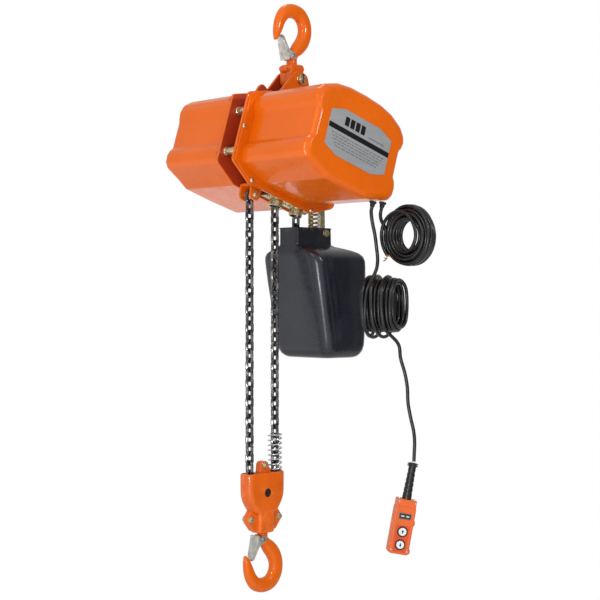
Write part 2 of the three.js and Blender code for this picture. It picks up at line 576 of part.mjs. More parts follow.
// Stretches that hang free, as hand-laid points below each gland or coil.
const PENDANT_CORD_UPPER = [[222, 34.5, -466], [222, 38.5, -484], [222, 45, -505], [222, 51, -536],
  [221.5, 55, -562], [220.5, 52, -584], [220.3, 50, -597]];
const PENDANT_CORD_LOWER = [[256, 85, -731.5], [256.6, 85.6, -751], [259.5, 88.7, -781], [266, 95.5, -814],
  [269.9, 99.7, -846], [271, 100.8, -881], [275.2, 105.3, -915.5], [279.6, 110, -944], [282.4, 110, -968],
  [282.3, 108.8, -994], [282.1, 108, -1011]];
const POWER_CORD_LEAD = [[218.5, 68, -463], [212, 73, -473]];

function cords() {
  gland('pendant_gland', PENDANT_GLAND_V, -13.5);
  gland('power_gland', POWER_GLAND_V, -4.5);
  const from = (v, top, points) => {
    const below = (drop) => bodyPoint(GLAND_X, v, top - GLAND_LENGTH - drop);
    return [below(2 * GAP), below(4), below(8), ...points];
  };
  const upper = from(PENDANT_GLAND_V, -13.5, PENDANT_CORD_UPPER);
  const lead = from(POWER_GLAND_V, -4.5, POWER_CORD_LEAD);
  place(group, 'pendant_cord_upper', cordTube(upper, CORD_RADIUS), RUBBER);
  place(group, 'power_cord_lead', cordTube(lead, CORD_RADIUS), RUBBER);
  place(group, 'pendant_cord_lower', cordTube(PENDANT_CORD_LOWER, CORD_RADIUS), RUBBER);
  const [outer, inner, half, drop] = [50.5, 29, 42, 29];
  const stadium = (r) => rounded([[-r, r + 1, r - 1], [-r, -drop - r, r - 1], [r, -drop - r, r - 1],
    [r, r + 1, r - 1]], 6);
  const hank = extrude('x', stadium(outer), -half, half, [stadium(inner)]);
  place(group, 'pendant_cord_hank', hank.rotateZ(HANK_TURN).translate(...HANK_CENTRE), RUBBER);
  place(group, 'power_cord_coil', ringBar('y', 32, 69, -18, 18, 24, COIL_CENTRE), RUBBER);
}

const BUTTONS = { up: -71, down: -100 };
const BUTTON_RADIUS = 9;

function pendantStation() {
  const [cosT, sinT] = [Math.cos(PENDANT_TURN), Math.sin(PENDANT_TURN)];
  const facing = new THREE.Vector3(cosT, sinT, 0);
  const across = new THREE.Vector3(-sinT, cosT, 0);
  const lean = (a, b) => across.clone().multiplyScalar(a).add(new THREE.Vector3(0, 0, b));
  const right = lean(Math.cos(PENDANT_LEAN), -Math.sin(PENDANT_LEAN));
  const up = lean(Math.sin(PENDANT_LEAN), Math.cos(PENDANT_LEAN));
  const basis = new THREE.Matrix4().makeBasis(right, up, facing).setPosition(...PENDANT_TOP);
  pendant.applyMatrix4(basis);
  const [wide, tall, deep] = PENDANT_SIZE;
  const [w, d] = [wide / 2, deep / 2];
  const outline = rounded([[-w, 0, 4], [-w, -tall, 5], [w, -tall, 5], [w, 0, 4]]);
  const inner = rounded([[-w + 3, -3, 3], [-w + 3, -tall + 3, 3], [w - 3, -tall + 3, 3], [w - 3, -3, 3]]);
  const cordHole = rod('y', 8.5, -10, 5, 12);
  const front = cut(extrude('z', outline, GAP / 2, d), extrude('z', inner, -5, d - 3), cordHole,
    ...Object.values(BUTTONS).map((y) => rod('z', BUTTON_RADIUS + GAP, d - 10, d + 5, 20, [0, y, 0])));
  const back = cut(extrude('z', outline, -d, -GAP / 2), extrude('z', inner, 3 - d, 5), cordHole);
  place(pendant, 'pendant_case_front', front, ORANGE);
  place(pendant, 'pendant_case_back', back, ORANGE);
  Object.entries(BUTTONS).forEach(([name, y]) => {
    const button = revolve('z', [[0, d - 9], [5, d - 9], [BUTTON_RADIUS, d - 7], [BUTTON_RADIUS, d + 2.5],
      [BUTTON_RADIUS - 1, d + 3.5], [0, d + 3.5]], 20, [0, y, 0]);
    place(pendant, `button_${name}`, button, WHITE);
  });
  place(pendant, 'contact_block', block(-13, -114, -11, 13, -56, 5), GREY);
  const boot = revolve('y', [[0, GAP], [10.4, GAP], [8.4, 73], [12, 75], [12, 80], [8.5, 82], [0, 82]], 16);
  place(pendant, 'cord_boot', boot, RUBBER);
}

topHook();
yoke();
frame();
covers();
drive();
chainExits();
chains();
loadBlock();
bucket();
cords();
pendantStation();

export default group;
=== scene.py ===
"""Two-fall electric chain hoist, hanging from its top hook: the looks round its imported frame."""
import math
import random

import bmesh
import bpy
from mathutils import Matrix, Vector
from mathutils.geometry import tessellate_polygon


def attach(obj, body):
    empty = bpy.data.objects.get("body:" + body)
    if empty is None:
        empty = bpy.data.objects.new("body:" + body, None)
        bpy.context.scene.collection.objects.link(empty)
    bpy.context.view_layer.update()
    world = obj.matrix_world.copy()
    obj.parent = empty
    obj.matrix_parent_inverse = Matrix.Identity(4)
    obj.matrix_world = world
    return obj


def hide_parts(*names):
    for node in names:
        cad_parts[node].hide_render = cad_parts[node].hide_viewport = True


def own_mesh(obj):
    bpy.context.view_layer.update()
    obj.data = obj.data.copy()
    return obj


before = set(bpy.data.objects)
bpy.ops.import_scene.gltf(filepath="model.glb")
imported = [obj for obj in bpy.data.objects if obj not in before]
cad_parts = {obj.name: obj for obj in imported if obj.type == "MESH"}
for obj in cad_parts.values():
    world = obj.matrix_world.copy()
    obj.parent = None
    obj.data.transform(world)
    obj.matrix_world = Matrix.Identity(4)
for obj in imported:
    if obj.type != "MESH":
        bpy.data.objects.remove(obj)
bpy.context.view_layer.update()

MM = 0.001                      # every size below is in millimetres, and pieces are made in metres

# ---- driving sizes, the same as the frame's ----
TILT = math.radians(17.4)       # lean of the unloaded body under its hook
PIN_Z = -146                    # suspension pin below the hook seat
PIN_V, PIN_W = 138, 249         # the same pin in the body's own v, w plane
PLATE_INNER, PLATE_OUTER = 24, 30
BODY_V, COVER_V = 162, 163      # middle of the plates and of the control cover
WHEEL_V, WHEEL_W = 210, 80      # load wheel axis
WHEEL_PITCH = 34                # radius at which the chain runs round the load wheel
ANCHOR_Y, LOAD_Y, SLACK_Y = -130, -53, 13
ANCHOR_TOP, LOAD_TOP = -425, -445
BLOCK_Y = (ANCHOR_Y + LOAD_Y) / 2
SHEAVE_Z = -1088
BLOCK_TOP_Z = SHEAVE_Z + 45
SHEAVE_PITCH = (LOAD_Y - ANCHOR_Y) / 2
LOAD_SEAT_Z = -1283
CHAIN_WIRE, CHAIN_PITCH, CHAIN_WIDTH = 7.1, 21, 23.4
CORD_RADIUS = 4
GLAND_X, PENDANT_GLAND_V, POWER_GLAND_V = 222, 262, 292

BODY = (Matrix.Translation((0, 0, PIN_Z)) @ Matrix.Rotation(-TILT, 4, "X")
        @ Matrix.Translation((0, -PIN_V, -PIN_W)))
PENDANT_LEAN, PENDANT_TURN = math.radians(10.6), math.radians(-36)
PENDANT_FACING = Vector((math.cos(PENDANT_TURN), math.sin(PENDANT_TURN), 0))
PENDANT_ACROSS = Vector((-math.sin(PENDANT_TURN), math.cos(PENDANT_TURN), 0))
PENDANT_RIGHT = PENDANT_ACROSS * math.cos(PENDANT_LEAN) - Vector((0, 0, math.sin(PENDANT_LEAN)))
PENDANT_UP = PENDANT_ACROSS * math.sin(PENDANT_LEAN) + Vector((0, 0, math.cos(PENDANT_LEAN)))
PENDANT = (Matrix.Translation((268.7, 98.4, -1094.5))
           @ Matrix((PENDANT_RIGHT, PENDANT_UP, PENDANT_FACING)).transposed().to_4x4())


# ---- camera, light and floor ----
def camera():
    data = bpy.data.cameras.new("camera")
    data.lens = 83.9
    data.shift_y = -0.0068
    eye = bpy.data.objects.new("camera", data)
    eye.location = (2.366, -2.211, -0.643)
    eye.rotation_mode = "QUATERNION"
    eye.rotation_quaternion = Vector((-0.7266, 0.6871, 0)).to_track_quat("-Z", "Y")
    bpy.context.scene.collection.objects.link(eye)
    bpy.context.scene.camera = eye


def softbox(name, place, aim, size, power):
    data = bpy.data.lights.new(name, "AREA")
    data.shape = "RECTANGLE"
    data.size, data.size_y = size
    data.energy = power
    lamp = bpy.data.objects.new(name, data)
    lamp.location = place
    lamp.rotation_mode = "QUATERNION"
    lamp.rotation_quaternion = (Vector(aim) - Vector(place)).to_track_quat("-Z", "Y")
    bpy.context.scene.collection.objects.link(lamp)


def studio():
    world = bpy.data.worlds.new("studio")
    world.use_nodes = True
    tree = world.node_tree
    tree.nodes["Background"].inputs["Color"].default_value = (1, 1, 1, 1)
    compass = tree.nodes.new("ShaderNodeTexCoord").outputs["Generated"]

    def graded(towards, start, stop, low, high):
        side = tree.nodes.new("ShaderNodeVectorMath")
        side.operation = "DOT_PRODUCT"
        side.inputs[1].default_value = towards
        tree.links.new(compass, side.inputs[0])
        grade = tree.nodes.new("ShaderNodeMapRange")
        grade.interpolation_type = "SMOOTHSTEP"
        for socket, number in (("From Min", start), ("From Max", stop), ("To Min", low), ("To Max", high)):
            grade.inputs[socket].default_value = number
        tree.links.new(side.outputs["Value"], grade.inputs["Value"])
        return grade.outputs["Result"]

    # White below, softer above, and a dark screen towards the control cover's end.
    room = tree.nodes.new("ShaderNodeMath")
    room.operation = "MULTIPLY"
    tree.links.new(graded((0, 0, 1), -0.5, 0.15, 1.15, 0.66), room.inputs[0])
    tree.links.new(graded((0.727, 0.687, 0), 0.55, 0.93, 1.0, 0.18), room.inputs[1])
    seen = tree.nodes.new("ShaderNodeMix")
    seen.inputs[3].default_value = 1.0
    tree.links.new(tree.nodes.new("ShaderNodeLightPath").outputs["Is Camera Ray"], seen.inputs["Factor"])
    tree.links.new(room.outputs["Value"], seen.inputs[2])
    tree.links.new(seen.outputs[0], tree.nodes["Background"].inputs["Strength"])
    bpy.context.scene.world = world
    middle = (0, 0, -0.45)
    softbox("key_light", (0.9, -2.3, 0.9), middle, (0.35, 0.25), 17)
    softbox("end_light", (2.6, 0.5, 0.5), middle, (0.3, 0.25), 22)
    softbox("top_light", (-0.6, 0.3, 1.9), middle, (0.7, 0.7), 10)
    softbox("low_light", (1.4, -1.9, -1.2), (0, 0, -0.9), (0.3, 0.3), 14)


# ---- mesh helpers; meshes are (points, faces) in millimetres ----
def spline(points, count):
    """Centripetal curve through the points, at count places spread evenly over its spans."""
    knots = [Vector(p) for p in points]
    ends = [knots[0] * 2 - knots[1], *knots, knots[-1] * 2 - knots[-2]]
    curve = []
    for k in range(count):
        at = k / (count - 1) * (len(knots) - 1)
        i = min(int(at), len(knots) - 2)
        p0, p1, p2, p3 = ends[i:i + 4]
        t0, t1, t2 = (max((b - a).length ** 0.5, 1e-4) for a, b in ((p0, p1), (p1, p2), (p2, p3)))
        out = ((p1 - p0) / t0 - (p2 - p0) / (t0 + t1) + (p2 - p1) / t1) * t1
        into = ((p2 - p1) / t1 - (p3 - p1) / (t1 + t2) + (p3 - p2) / t2) * t1
        s = at - i
        curve.append((2 * s**3 - 3 * s**2 + 1) * p1 + (s**3 - 2 * s**2 + s) * out
                     + (3 * s**2 - 2 * s**3) * p2 + (s**3 - s**2) * into)
    return curve


def rounded(corners, steps=6):
    """Outline through corners given as (a, b, radius), each radius drawn as an arc."""
    outline = []
    for i, (a, b, *rest) in enumerate(corners):
        here = Vector((a, b))
        radius = rest[0] if rest else 0
        if not radius:
            outline.append(here)
            continue
        before = (Vector(corners[i - 1][:2]) - here).normalized()
        after = (Vector(corners[(i + 1) % len(corners)][:2]) - here).normalized()
        half = math.acos(max(-1.0, min(1.0, before.dot(after)))) / 2
        centre = here + (before + after).normalized() * (radius / math.sin(half))
        first = here + before * (radius / math.tan(half)) - centre
        last = here + after * (radius / math.tan(half)) - centre
        start = math.atan2(first.y, first.x)
        sweep = (math.atan2(last.y, last.x) - start + math.pi) % math.tau - math.pi
        for k in range(steps + 1):
            turn = start + sweep * k / steps
            outline.append(centre + Vector((math.cos(turn), math.sin(turn))) * radius)
    return outline


def circle(a, b, radius, sides=40):
    return [Vector((a + radius * math.cos(math.tau * k / sides), b + radius * math.sin(math.tau * k / sides)))
            for k in range(sides)]


def box_outline(a0, b0, a1, b1, radius=0.0):
    return rounded([(a0, b0, radius), (a1, b0, radius), (a1, b1, radius), (a0, b1, radius)])


def turned_loop(outline, sign):
    """The outline run anticlockwise for sign 1 and clockwise for -1."""
    area = sum(p.x * q.y - q.x * p.y for p, q in zip(outline, outline[1:] + outline[:1]))
    return list(outline) if area * sign > 0 else list(reversed(outline))


def inset(outline, amount):
    """Each point moved to the left of its direction of travel."""
    moved = []
    for before, here, after in zip(outline[-1:] + outline[:-1], outline, outline[1:] + outline[:1]):
        a, b = (here - before).normalized(), (after - here).normalized()
        n1, n2 = Vector((-a.y, a.x)), Vector((-b.y, b.x))
        moved.append(here + (n1 + n2) * (amount / max(1 + n1.dot(n2), 0.4)))
    return moved


AXES = {"X": lambda a, b, h: Vector((h, a, b)), "Y": lambda a, b, h: Vector((a, h, b)),
        "Z": lambda a, b, h: Vector((a, b, h))}


def slab(outline, low, high, axis="X", holes=(), edge=1.0, steps=3):
    """Plate with rounded edges, from its outline (y, z), (x, z) or (x, y) and its thickness along an axis."""
    loops = [turned_loop(outline, 1)] + [turned_loop(hole, -1) for hole in holes]
    low, high = min(low, high), max(low, high)
    turns = [math.pi / 2 * k / steps for k in range(steps + 1)] if edge else [0.0]
    rim = [(edge * (1 - math.sin(t)), edge * (1 - math.cos(t))) for t in turns]
    levels = [(away, low + up) for away, up in rim] + [(away, high - up) for away, up in reversed(rim)]
    points, faces, starts = [], [], []
    for loop in loops:
        starts.append(len(points))
        for away, height in levels:
            points += [AXES[axis](p.x, p.y, height) for p in inset(loop, away)]
        n = len(loop)
        for k in range(len(levels) - 1):
            a = starts[-1] + k * n
            faces += [(a + i, a + (i + 1) % n, a + n + (i + 1) % n, a + n + i) for i in range(n)]
    edge_loops = [[Vector((p.x, p.y, 0)) for p in inset(loop, rim[0][0])] for loop in loops]
    index = [start + i for loop, start in zip(loops, starts) for i in range(len(loop))]
    lift = [(len(levels) - 1) * len(loop) for loop in loops for _ in loop]
    for triangle in tessellate_polygon(edge_loops):
        faces.append(tuple(index[i] for i in triangle))
        faces.append(tuple(index[i] + lift[i] for i in reversed(triangle)))
    return points, faces


def loft(rings, loop=False):
    """Skin over rings of equal size, closed by flat ends or joined into a loop."""
    n = len(rings[0])
    points = [Vector(p) for ring in rings for p in ring]
    faces = []
    for k in range(len(rings) if loop else len(rings) - 1):
        a, b = k * n, (k + 1) % len(rings) * n
        faces += [(a + i, a + (i + 1) % n, b + (i + 1) % n, b + i) for i in range(n)]
    if not loop:
        faces += [tuple(reversed(range(n))), tuple((len(rings) - 1) * n + i for i in range(n))]
    return points, faces


def turned(profile, sides=48, axis="Z", at=(0, 0, 0)):
    """Turned solid from (radius, height) points that start and end on the axis, or that close."""
    place = Vector(at)
    closed = profile[0][0] > 1e-6
    rings = [[AXES[axis](r * math.cos(math.tau * k / sides), r * math.sin(math.tau * k / sides), h) + place
              for k in range(sides)] for r, h in (profile[:-1] if closed else profile)]
    points, faces = loft(rings, loop=closed)
    return points, faces if closed else faces[:-2]


def soft_edges(corners, radius, steps=3):
    """A turned profile whose outer corners are rounded; points on the axis stay."""
    ends = [(r, h, 0 if r < 1e-6 else radius) for r, h in corners]
    return [(max(p.x, 0.0), p.y) for p in rounded(ends, steps)]


def disc(radius, low, high, edge=0.6, sides=40, axis="Z", at=(0, 0, 0)):
    return turned(soft_edges([(0, low), (radius, low), (radius, high), (0, high)], edge), sides, axis, at)


def ring(inner, outer, low, high, edge=0.6, sides=48, axis="Z", at=(0, 0, 0)):
    corners = [(inner, low, edge), (outer, low, edge), (outer, high, edge), (inner, high, edge)]
    profile = [tuple(p) for p in rounded(corners, 3)]
    return turned(profile + profile[:1], sides, axis, at)


def tube(points, radius, sides=12, loop=False):
    """Round bar along points; radius is one number or one for each point."""
    line = [Vector(p) for p in points]
    count = len(line)
    radii = radius if isinstance(radius, (list, tuple)) else [radius] * count
    rings, side = [], None
    for k, here in enumerate(line):
        before = line[k - 1] if loop or k else here
        after = line[(k + 1) % count] if loop or k < count - 1 else here
        along = (after - before).normalized()
        side = along.orthogonal() if side is None else side - along * side.dot(along)
        side.normalize()
        up = along.cross(side)
        rings.append([here + (side * math.cos(math.tau * i / sides) + up * math.sin(math.tau * i / sides))
                      * radii[k] for i in range(sides)])
    return loft(rings, loop)


def winding(radius, turns, per_turn, height, axis="Z", at=(0, 0, 0)):
    """Points along a wound spring; height(t) is the place on its axis after t turns."""
    places = [k / per_turn for k in range(int(turns * per_turn) + 1)]
    return [AXES[axis](radius * math.cos(math.tau * t), radius * math.sin(math.tau * t), height(t))
            + Vector(at) for t in places]


def moved(mesh, matrix):
    return [matrix @ p for p in mesh[0]], mesh[1]


def joined(*meshes):
    points, faces = [], []
    for more, skins in meshes:
        faces += [tuple(i + len(points) for i in face) for face in skins]
        points += more
    return points, faces


def hexagon(across, turn=0.0):
    radius = across / math.sqrt(3)
    return [Vector((radius * math.cos(math.tau * k / 6 + turn), radius * math.sin(math.tau * k / 6 + turn)))
            for k in range(6)]


def bolt_head(across, height, axis, at, side=1):
    """Hexagon head with a washer face, standing off a surface at `at` towards side."""
    washer = disc(across * 0.62, 0, side * 1.2, 0.3, 32, axis)
    head = slab(hexagon(across), side * 1.2, side * height, axis, edge=0.7)
    return moved(joined(washer, head), Matrix.Translation(at))


def piece(name, mesh, finish, body, replaces=(), at=None, sharp=35, flat=True):
    """Makes an object of a closed mesh, riding on a CAD body."""
    points, faces = mesh
    data = bpy.data.meshes.new(name)
    data.from_pydata([(at @ p if at else p) * MM for p in points], [], faces)
    work = bmesh.new()
    work.from_mesh(data)
    bmesh.ops.remove_doubles(work, verts=work.verts, dist=2e-6)
    bmesh.ops.dissolve_degenerate(work, edges=work.edges, dist=1e-6)
    bmesh.ops.recalc_face_normals(work, faces=work.faces)
    work.to_mesh(data)
    work.free()
    data.shade_smooth()
    data.set_sharp_from_angle(angle=math.radians(sharp))
    thing = bpy.data.objects.new(name, data)
    bpy.context.scene.collection.objects.link(thing)
    if flat:
        even = thing.modifiers.new("even_shading", "WEIGHTED_NORMAL")
        even.keep_sharp = True
    data.materials.append(finish)
    return dressed(thing, body, replaces)


def dressed(thing, body, replaces=()):
    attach(thing, body)
    if replaces:
        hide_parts(*([replaces] if isinstance(replaces, str) else replaces))
    return thing


# ---- materials ----
def surface(name, colour, rough, metal=0.0, coat=0.0, tone=0.06, tone_scale=7, spread=0.06,
            bumps=((260, 0.03),), worn=None, specular=0.5, stretch=(1, 1, 1)):
    """Shader with uneven tone and gloss, fine relief in millimetres, and a worn colour on its edges."""
    made = bpy.data.materials.new(name)
    made.use_nodes = True
    tree = made.node_tree
    skin = tree.nodes["Principled BSDF"]
    for socket, value in (("Metallic", metal), ("Coat Weight", coat), ("Coat Roughness", 0.05),
                          ("Specular IOR Level", specular)):
        skin.inputs[socket].default_value = value
    place = tree.nodes.new("ShaderNodeMapping")
    place.inputs["Scale"].default_value = stretch
    tree.links.new(tree.nodes.new("ShaderNodeTexCoord").outputs["Object"], place.inputs["Vector"])

    def noise(scale, detail=3.0):
        node = tree.nodes.new("ShaderNodeTexNoise")
        node.inputs["Scale"].default_value = scale
        node.inputs["Detail"].default_value = detail
        tree.links.new(place.outputs["Vector"], node.inputs["Vector"])
        return node.outputs["Fac"]

    def ranged(value, low, high, start=0.35, stop=0.65):
        node = tree.nodes.new("ShaderNodeMapRange")
        for socket, number in (("From Min", start), ("From Max", stop), ("To Min", low), ("To Max", high)):
            node.inputs[socket].default_value = number
        tree.links.new(value, node.inputs["Value"])
        return node.outputs["Result"]

    def mixed(amount, first, second):
        node = tree.nodes.new("ShaderNodeMix")
        node.data_type = "RGBA"
        tree.links.new(amount, node.inputs["Factor"])
        for socket, value in ((node.inputs[6], first), (node.inputs[7], second)):
            if isinstance(value, tuple):
                socket.default_value = (*value, 1)
            else:
                tree.links.new(value, socket)
        return node.outputs[2]

    shades = [tuple(c * (1 + sign * tone) for c in colour) for sign in (-1, 1)]
    paint = mixed(ranged(noise(tone_scale), 0, 1), *shades)
    if worn:
        edge = ranged(tree.nodes.new("ShaderNodeNewGeometry").outputs["Pointiness"], 0, 1, 0.53, 0.62)
        patchy = tree.nodes.new("ShaderNodeMath")
        patchy.operation = "MULTIPLY"
        tree.links.new(edge, patchy.inputs[0])
        tree.links.new(ranged(noise(60), 0, 1, 0.45, 0.6), patchy.inputs[1])
        paint = mixed(patchy.outputs["Value"], paint, worn)
    tree.links.new(paint, skin.inputs["Base Color"])
    tree.links.new(ranged(noise(tone_scale * 5), rough - spread, rough + spread), skin.inputs["Roughness"])
    relief = None
    for scale, depth in bumps:
        bump = tree.nodes.new("ShaderNodeBump")
        bump.inputs["Distance"].default_value = depth * MM
        tree.links.new(noise(scale), bump.inputs["Height"])
        if relief:
            tree.links.new(relief, bump.inputs["Normal"])
        relief = bump.outputs["Normal"]
    if relief:
        tree.links.new(relief, skin.inputs["Normal"])
        if coat:
            tree.links.new(relief, skin.inputs["Coat Normal"])
    return made


ORANGE = surface("orange_enamel", (0.72, 0.122, 0.001), 0.28, coat=0.3, tone=0.035, bumps=((26, 0.12),),
                 specular=0.2)
CAST_ORANGE = surface("cast_orange", (0.70, 0.115, 0.002), 0.34, coat=0.25, tone=0.08, tone_scale=20,
                      bumps=((90, 0.35), (330, 0.08)), worn=(0.85, 0.24, 0.05), specular=0.35)
# Dark red-orange that stands for shade: painted shade on the plates' inner faces and on the suspension pin
PAINTED_SHADE_RED = surface("painted_shade_red", (0.42, 0.035, 0.006), 0.45, coat=0.2, tone=0.08, bumps=((26, 0.1),))
ZINC = surface("yellow_zinc", (0.62, 0.55, 0.33), 0.3, metal=0.9, tone=0.16, tone_scale=45, spread=0.1,
               bumps=((300, 0.06),), worn=(0.8, 0.76, 0.6))
STEEL = surface("bright_steel", (0.56, 0.57, 0.58), 0.28, metal=1.0, tone=0.1, tone_scale=30,
                bumps=((500, 0.02),), worn=(0.8, 0.8, 0.8))
GALVANISED = surface("galvanised_sheet", (0.55, 0.54, 0.50), 0.4, metal=0.9, tone=0.16, tone_scale=90,
                     spread=0.12, bumps=((160, 0.05),), worn=(0.75, 0.74, 0.7))
CHAIN_BLACK = surface("oiled_black_steel", (0.075, 0.075, 0.08), 0.24, metal=0.85, tone=0.35, tone_scale=90,
                      spread=0.09, bumps=((240, 0.08),), worn=(0.5, 0.5, 0.5))
SLATE = surface("slate_plastic", (0.013, 0.015, 0.023), 0.27, tone=0.12, tone_scale=12,
                bumps=((700, 0.05), (60, 0.06)), worn=(0.06, 0.065, 0.08))
RUBBER = surface("cable_sheath", (0.0065, 0.0065, 0.0075), 0.33, tone=0.25, tone_scale=40,
                 bumps=((600, 0.03),), worn=(0.03, 0.03, 0.032))
BLACK = surface("black_plastic", (0.008, 0.008, 0.009), 0.4, tone=0.2, bumps=((600, 0.04),))
GASKET = surface("gasket_rubber", (0.006, 0.006, 0.006), 0.6, tone=0.2, bumps=((400, 0.05),))
PLASTIC = surface("orange_plastic", (0.72, 0.115, 0.012), 0.36, tone=0.05, tone_scale=25,
                  bumps=((500, 0.05),), worn=(0.85, 0.25, 0.05))
PANEL = surface("panel_orange", (0.62, 0.062, 0.006), 0.42, tone=0.06, tone_scale=25, bumps=((500, 0.05),))
WHITE = surface("white_plastic", (0.72, 0.74, 0.74), 0.3, tone=0.04, tone_scale=60, bumps=((500, 0.03),))
LABEL = surface("silver_label", (0.33, 0.34, 0.35), 0.42, metal=0.25, tone=0.05, tone_scale=10,
                bumps=((900, 0.01),), stretch=(1, 1, 12))
INK = surface("label_ink", (0.006, 0.006, 0.0065), 0.6, tone=0.1, bumps=((900, 0.01),), specular=0.15)
PALE_INK = surface("label_grey_ink", (0.14, 0.145, 0.15), 0.5, tone=0.1, bumps=((900, 0.01),))
COPPER = surface("varnished_copper", (0.45, 0.17, 0.06), 0.35, metal=0.8, tone=0.2, tone_scale=60,
                 bumps=((200, 0.3),))
CASTING = surface("grey_casting", (0.16, 0.165, 0.175), 0.5, metal=0.4, tone=0.12, tone_scale=30,
                  bumps=((150, 0.25),))
GLASS = surface("smoked_window", (0.01, 0.01, 0.012), 0.12, coat=0.6, tone=0.1, bumps=((300, 0.01),))
WIRES = {name: surface(name + "_wire", colour, 0.4, tone=0.1, bumps=((500, 0.02),))
         for name, colour in (("red", (0.6, 0.03, 0.02)), ("blue", (0.02, 0.05, 0.35)),
                              ("yellow", (0.75, 0.5, 0.03)))}
FLOOR = surface("pale_floor", (0.80, 0.80, 0.79), 0.6, tone=0.015, tone_scale=2, bumps=((40, 0.1),))


def floor():
    points, faces = disc(2200, -1912, -1900, 4, 96)
    data = bpy.data.meshes.new("floor")
    data.from_pydata([p * MM for p in points], [], faces)
    data.materials.append(FLOOR)
    ground = bpy.data.objects.new("floor", data)
    bpy.context.scene.collection.objects.link(ground)


# ---- cords ----
PENDANT_CORD_UPPER = [(222, 34.5, -466), (222, 38.5, -484), (222, 45, -505), (222, 51, -536),
                      (221.5, 55, -562), (220.5, 52, -584)]
PENDANT_CORD_LOWER = [(256.6, 85.6, -751), (259.5, 88.7, -781), (266, 95.5, -814), (269.9, 99.7, -846),
                      (271, 100.8, -881), (275.2, 105.3, -915.5), (279.6, 110, -944), (282.4, 110, -968),
                      (282.3, 108.8, -994), (282.1, 108, -1011)]
POWER_CORD_LEAD = [(218.5, 67, -460), (215.5, 73, -474)]
TURN_POINTS = 24                # points on each turn of a coil
HANK = Matrix.Translation((222, 75, -650)) @ Matrix.Rotation(math.radians(16.6), 4, "Z")
COIL_CENTRE = Vector((277, 99, -508))


def below_gland(v, top, drops=(0.6, 4, 8)):
    """Points straight below a gland, along its own axis."""
    return [BODY @ Vector((GLAND_X, v, top - 12 - drop)) for drop in drops]


def between(stops, at, eased=False):
    """The stops' values at a place along them, straight or eased from one to the next."""
    for (a, first), (b, second) in zip(stops, stops[1:]):
        if at <= b:
            s = max(0.0, (at - a) / (b - a))
            return first + (second - first) * s * (s * (3 - 2 * s) if eased else 1)
    return stops[-1][1]


def turns_between(first, last):
    """Every place, counted in turns, at which a coil has a point."""
    count = int((last - first) * TURN_POINTS)
    return [first + (last - first) * k / count for k in range(count + 1)]


def hank_points():
    """Turns of the hank: a wide turn to its left end, a layer inside, one over it, three loose turns."""
    across = [(0, 0), (1, -47), (1.5, -41), (9.3, 36), (10.1, 38), (17.8, -35), (18.6, -31), (21.0, 30)]
    radii = [(0, 49.5), (0.9, 48), (1.5, 33.6), (9.6, 33.6), (10.1, 41.9), (17.8, 41.9),
             (18.4, 49.6), (21.0, 49)]
    outer_from = 18.4
    sway = random.Random(7)
    phases = [sway.uniform(0, math.tau) for _ in range(4)]
    route = []
    for turn in turns_between(0.42, 20.63):
        angle = turn * math.tau
        loose = 1.1 * math.sin(turn * 1.7 * math.tau + phases[0]) + 0.7 * math.sin(turn * 2.3 + phases[1])
        radius = between(radii, turn, eased=True) + loose * 0.5
        lean = 1.6 * math.sin(angle + phases[2]) + 0.9 * math.sin(turn * 0.61 * math.tau + phases[3])
        drop = 7 if turn > outer_from or turn < 1 else 0
        rise = max(-1.0, min(1.0, 2.2 * math.sin(angle)))
        height = radius * math.sin(angle) - 13.5 + 15 * rise - drop * max(0.0, -math.sin(angle))
        route.append(HANK @ Vector((between(across, turn) + lean, radius * math.cos(angle), height)))
    return route


def coil_points():
    """Sixteen turns of the power cable in four layers, the outer one first, its end laid over the front."""
    sway = random.Random(11)
    phases = [sway.uniform(0, math.tau) for _ in range(4)]
    radii, depths = [], []
    for layer, radius in enumerate((64.3, 55.2, 46.2, 37.2)):
        near, far = (-13.2, 13.2) if layer % 2 == 0 else (13.2, -13.2)
        radii += [(layer * 4 + 0.4, radius), (layer * 4 + 3.7, radius)]
        depths += [(layer * 4 + 0.4, near), (layer * 4 + 3.7, far)]
    radii += [(16.05, 38), (16.5, 66)]
    depths += [(15.9, -21.5), (16.6, -22)]
    route = []
    for turn in turns_between(0.46, 16.62):
        angle = turn * math.tau
        radius = between(radii, turn, eased=True) + 0.7 * math.sin(turn * 2.7 + phases[0])
        sag = 1.2 * math.sin(angle + phases[1]) + 0.8 * math.sin(turn * 3.9 + phases[2])
        depth = between(depths, turn) + sag
        route.append(COIL_CENTRE + Vector((radius * math.cos(angle), depth, radius * math.sin(angle))))
    return route


def even(route, step):
    """The route again with points about step apart."""
    lengths = [0.0]
    for a, b in zip(route, route[1:]):
        lengths.append(lengths[-1] + (b - a).length)
    count = max(2, round(lengths[-1] / step))
    result, i = [], 0
    for k in range(count + 1):
        at = lengths[-1] * k / count
        while i < len(route) - 2 and lengths[i + 1] < at:
            i += 1
        share = (at - lengths[i]) / max(lengths[i + 1] - lengths[i], 1e-9)
        result.append(route[i].lerp(route[i + 1], min(1.0, share)))
    return result


def cord_piece(name, route, finish, body, replaces):
    line = even(spline(route, len(route) * 4), 5.0)
    thing = piece(name, tube(line, CORD_RADIUS, 14), finish, body, replaces, flat=False)
    return thing, line


def cords():
    upper = below_gland(PENDANT_GLAND_V, -13.5) + [Vector(p) for p in PENDANT_CORD_UPPER]
    route = upper + hank_points() + [Vector(p) for p in PENDANT_CORD_LOWER]
    pendant_cord, line = cord_piece("pendant_cord", route, RUBBER, "pendant",
                                    ["pendant_cord_upper", "pendant_cord_hank", "pendant_cord_lower"])
    boot = cord_boot()
    lead = below_gland(POWER_GLAND_V, -4.5) + [Vector(p) for p in POWER_CORD_LEAD]
    power_cord, line = cord_piece("power_cord", lead + coil_points(), RUBBER, "power_cord",
                                  ["power_cord_lead", "power_cord_coil"])
    conductors(line)


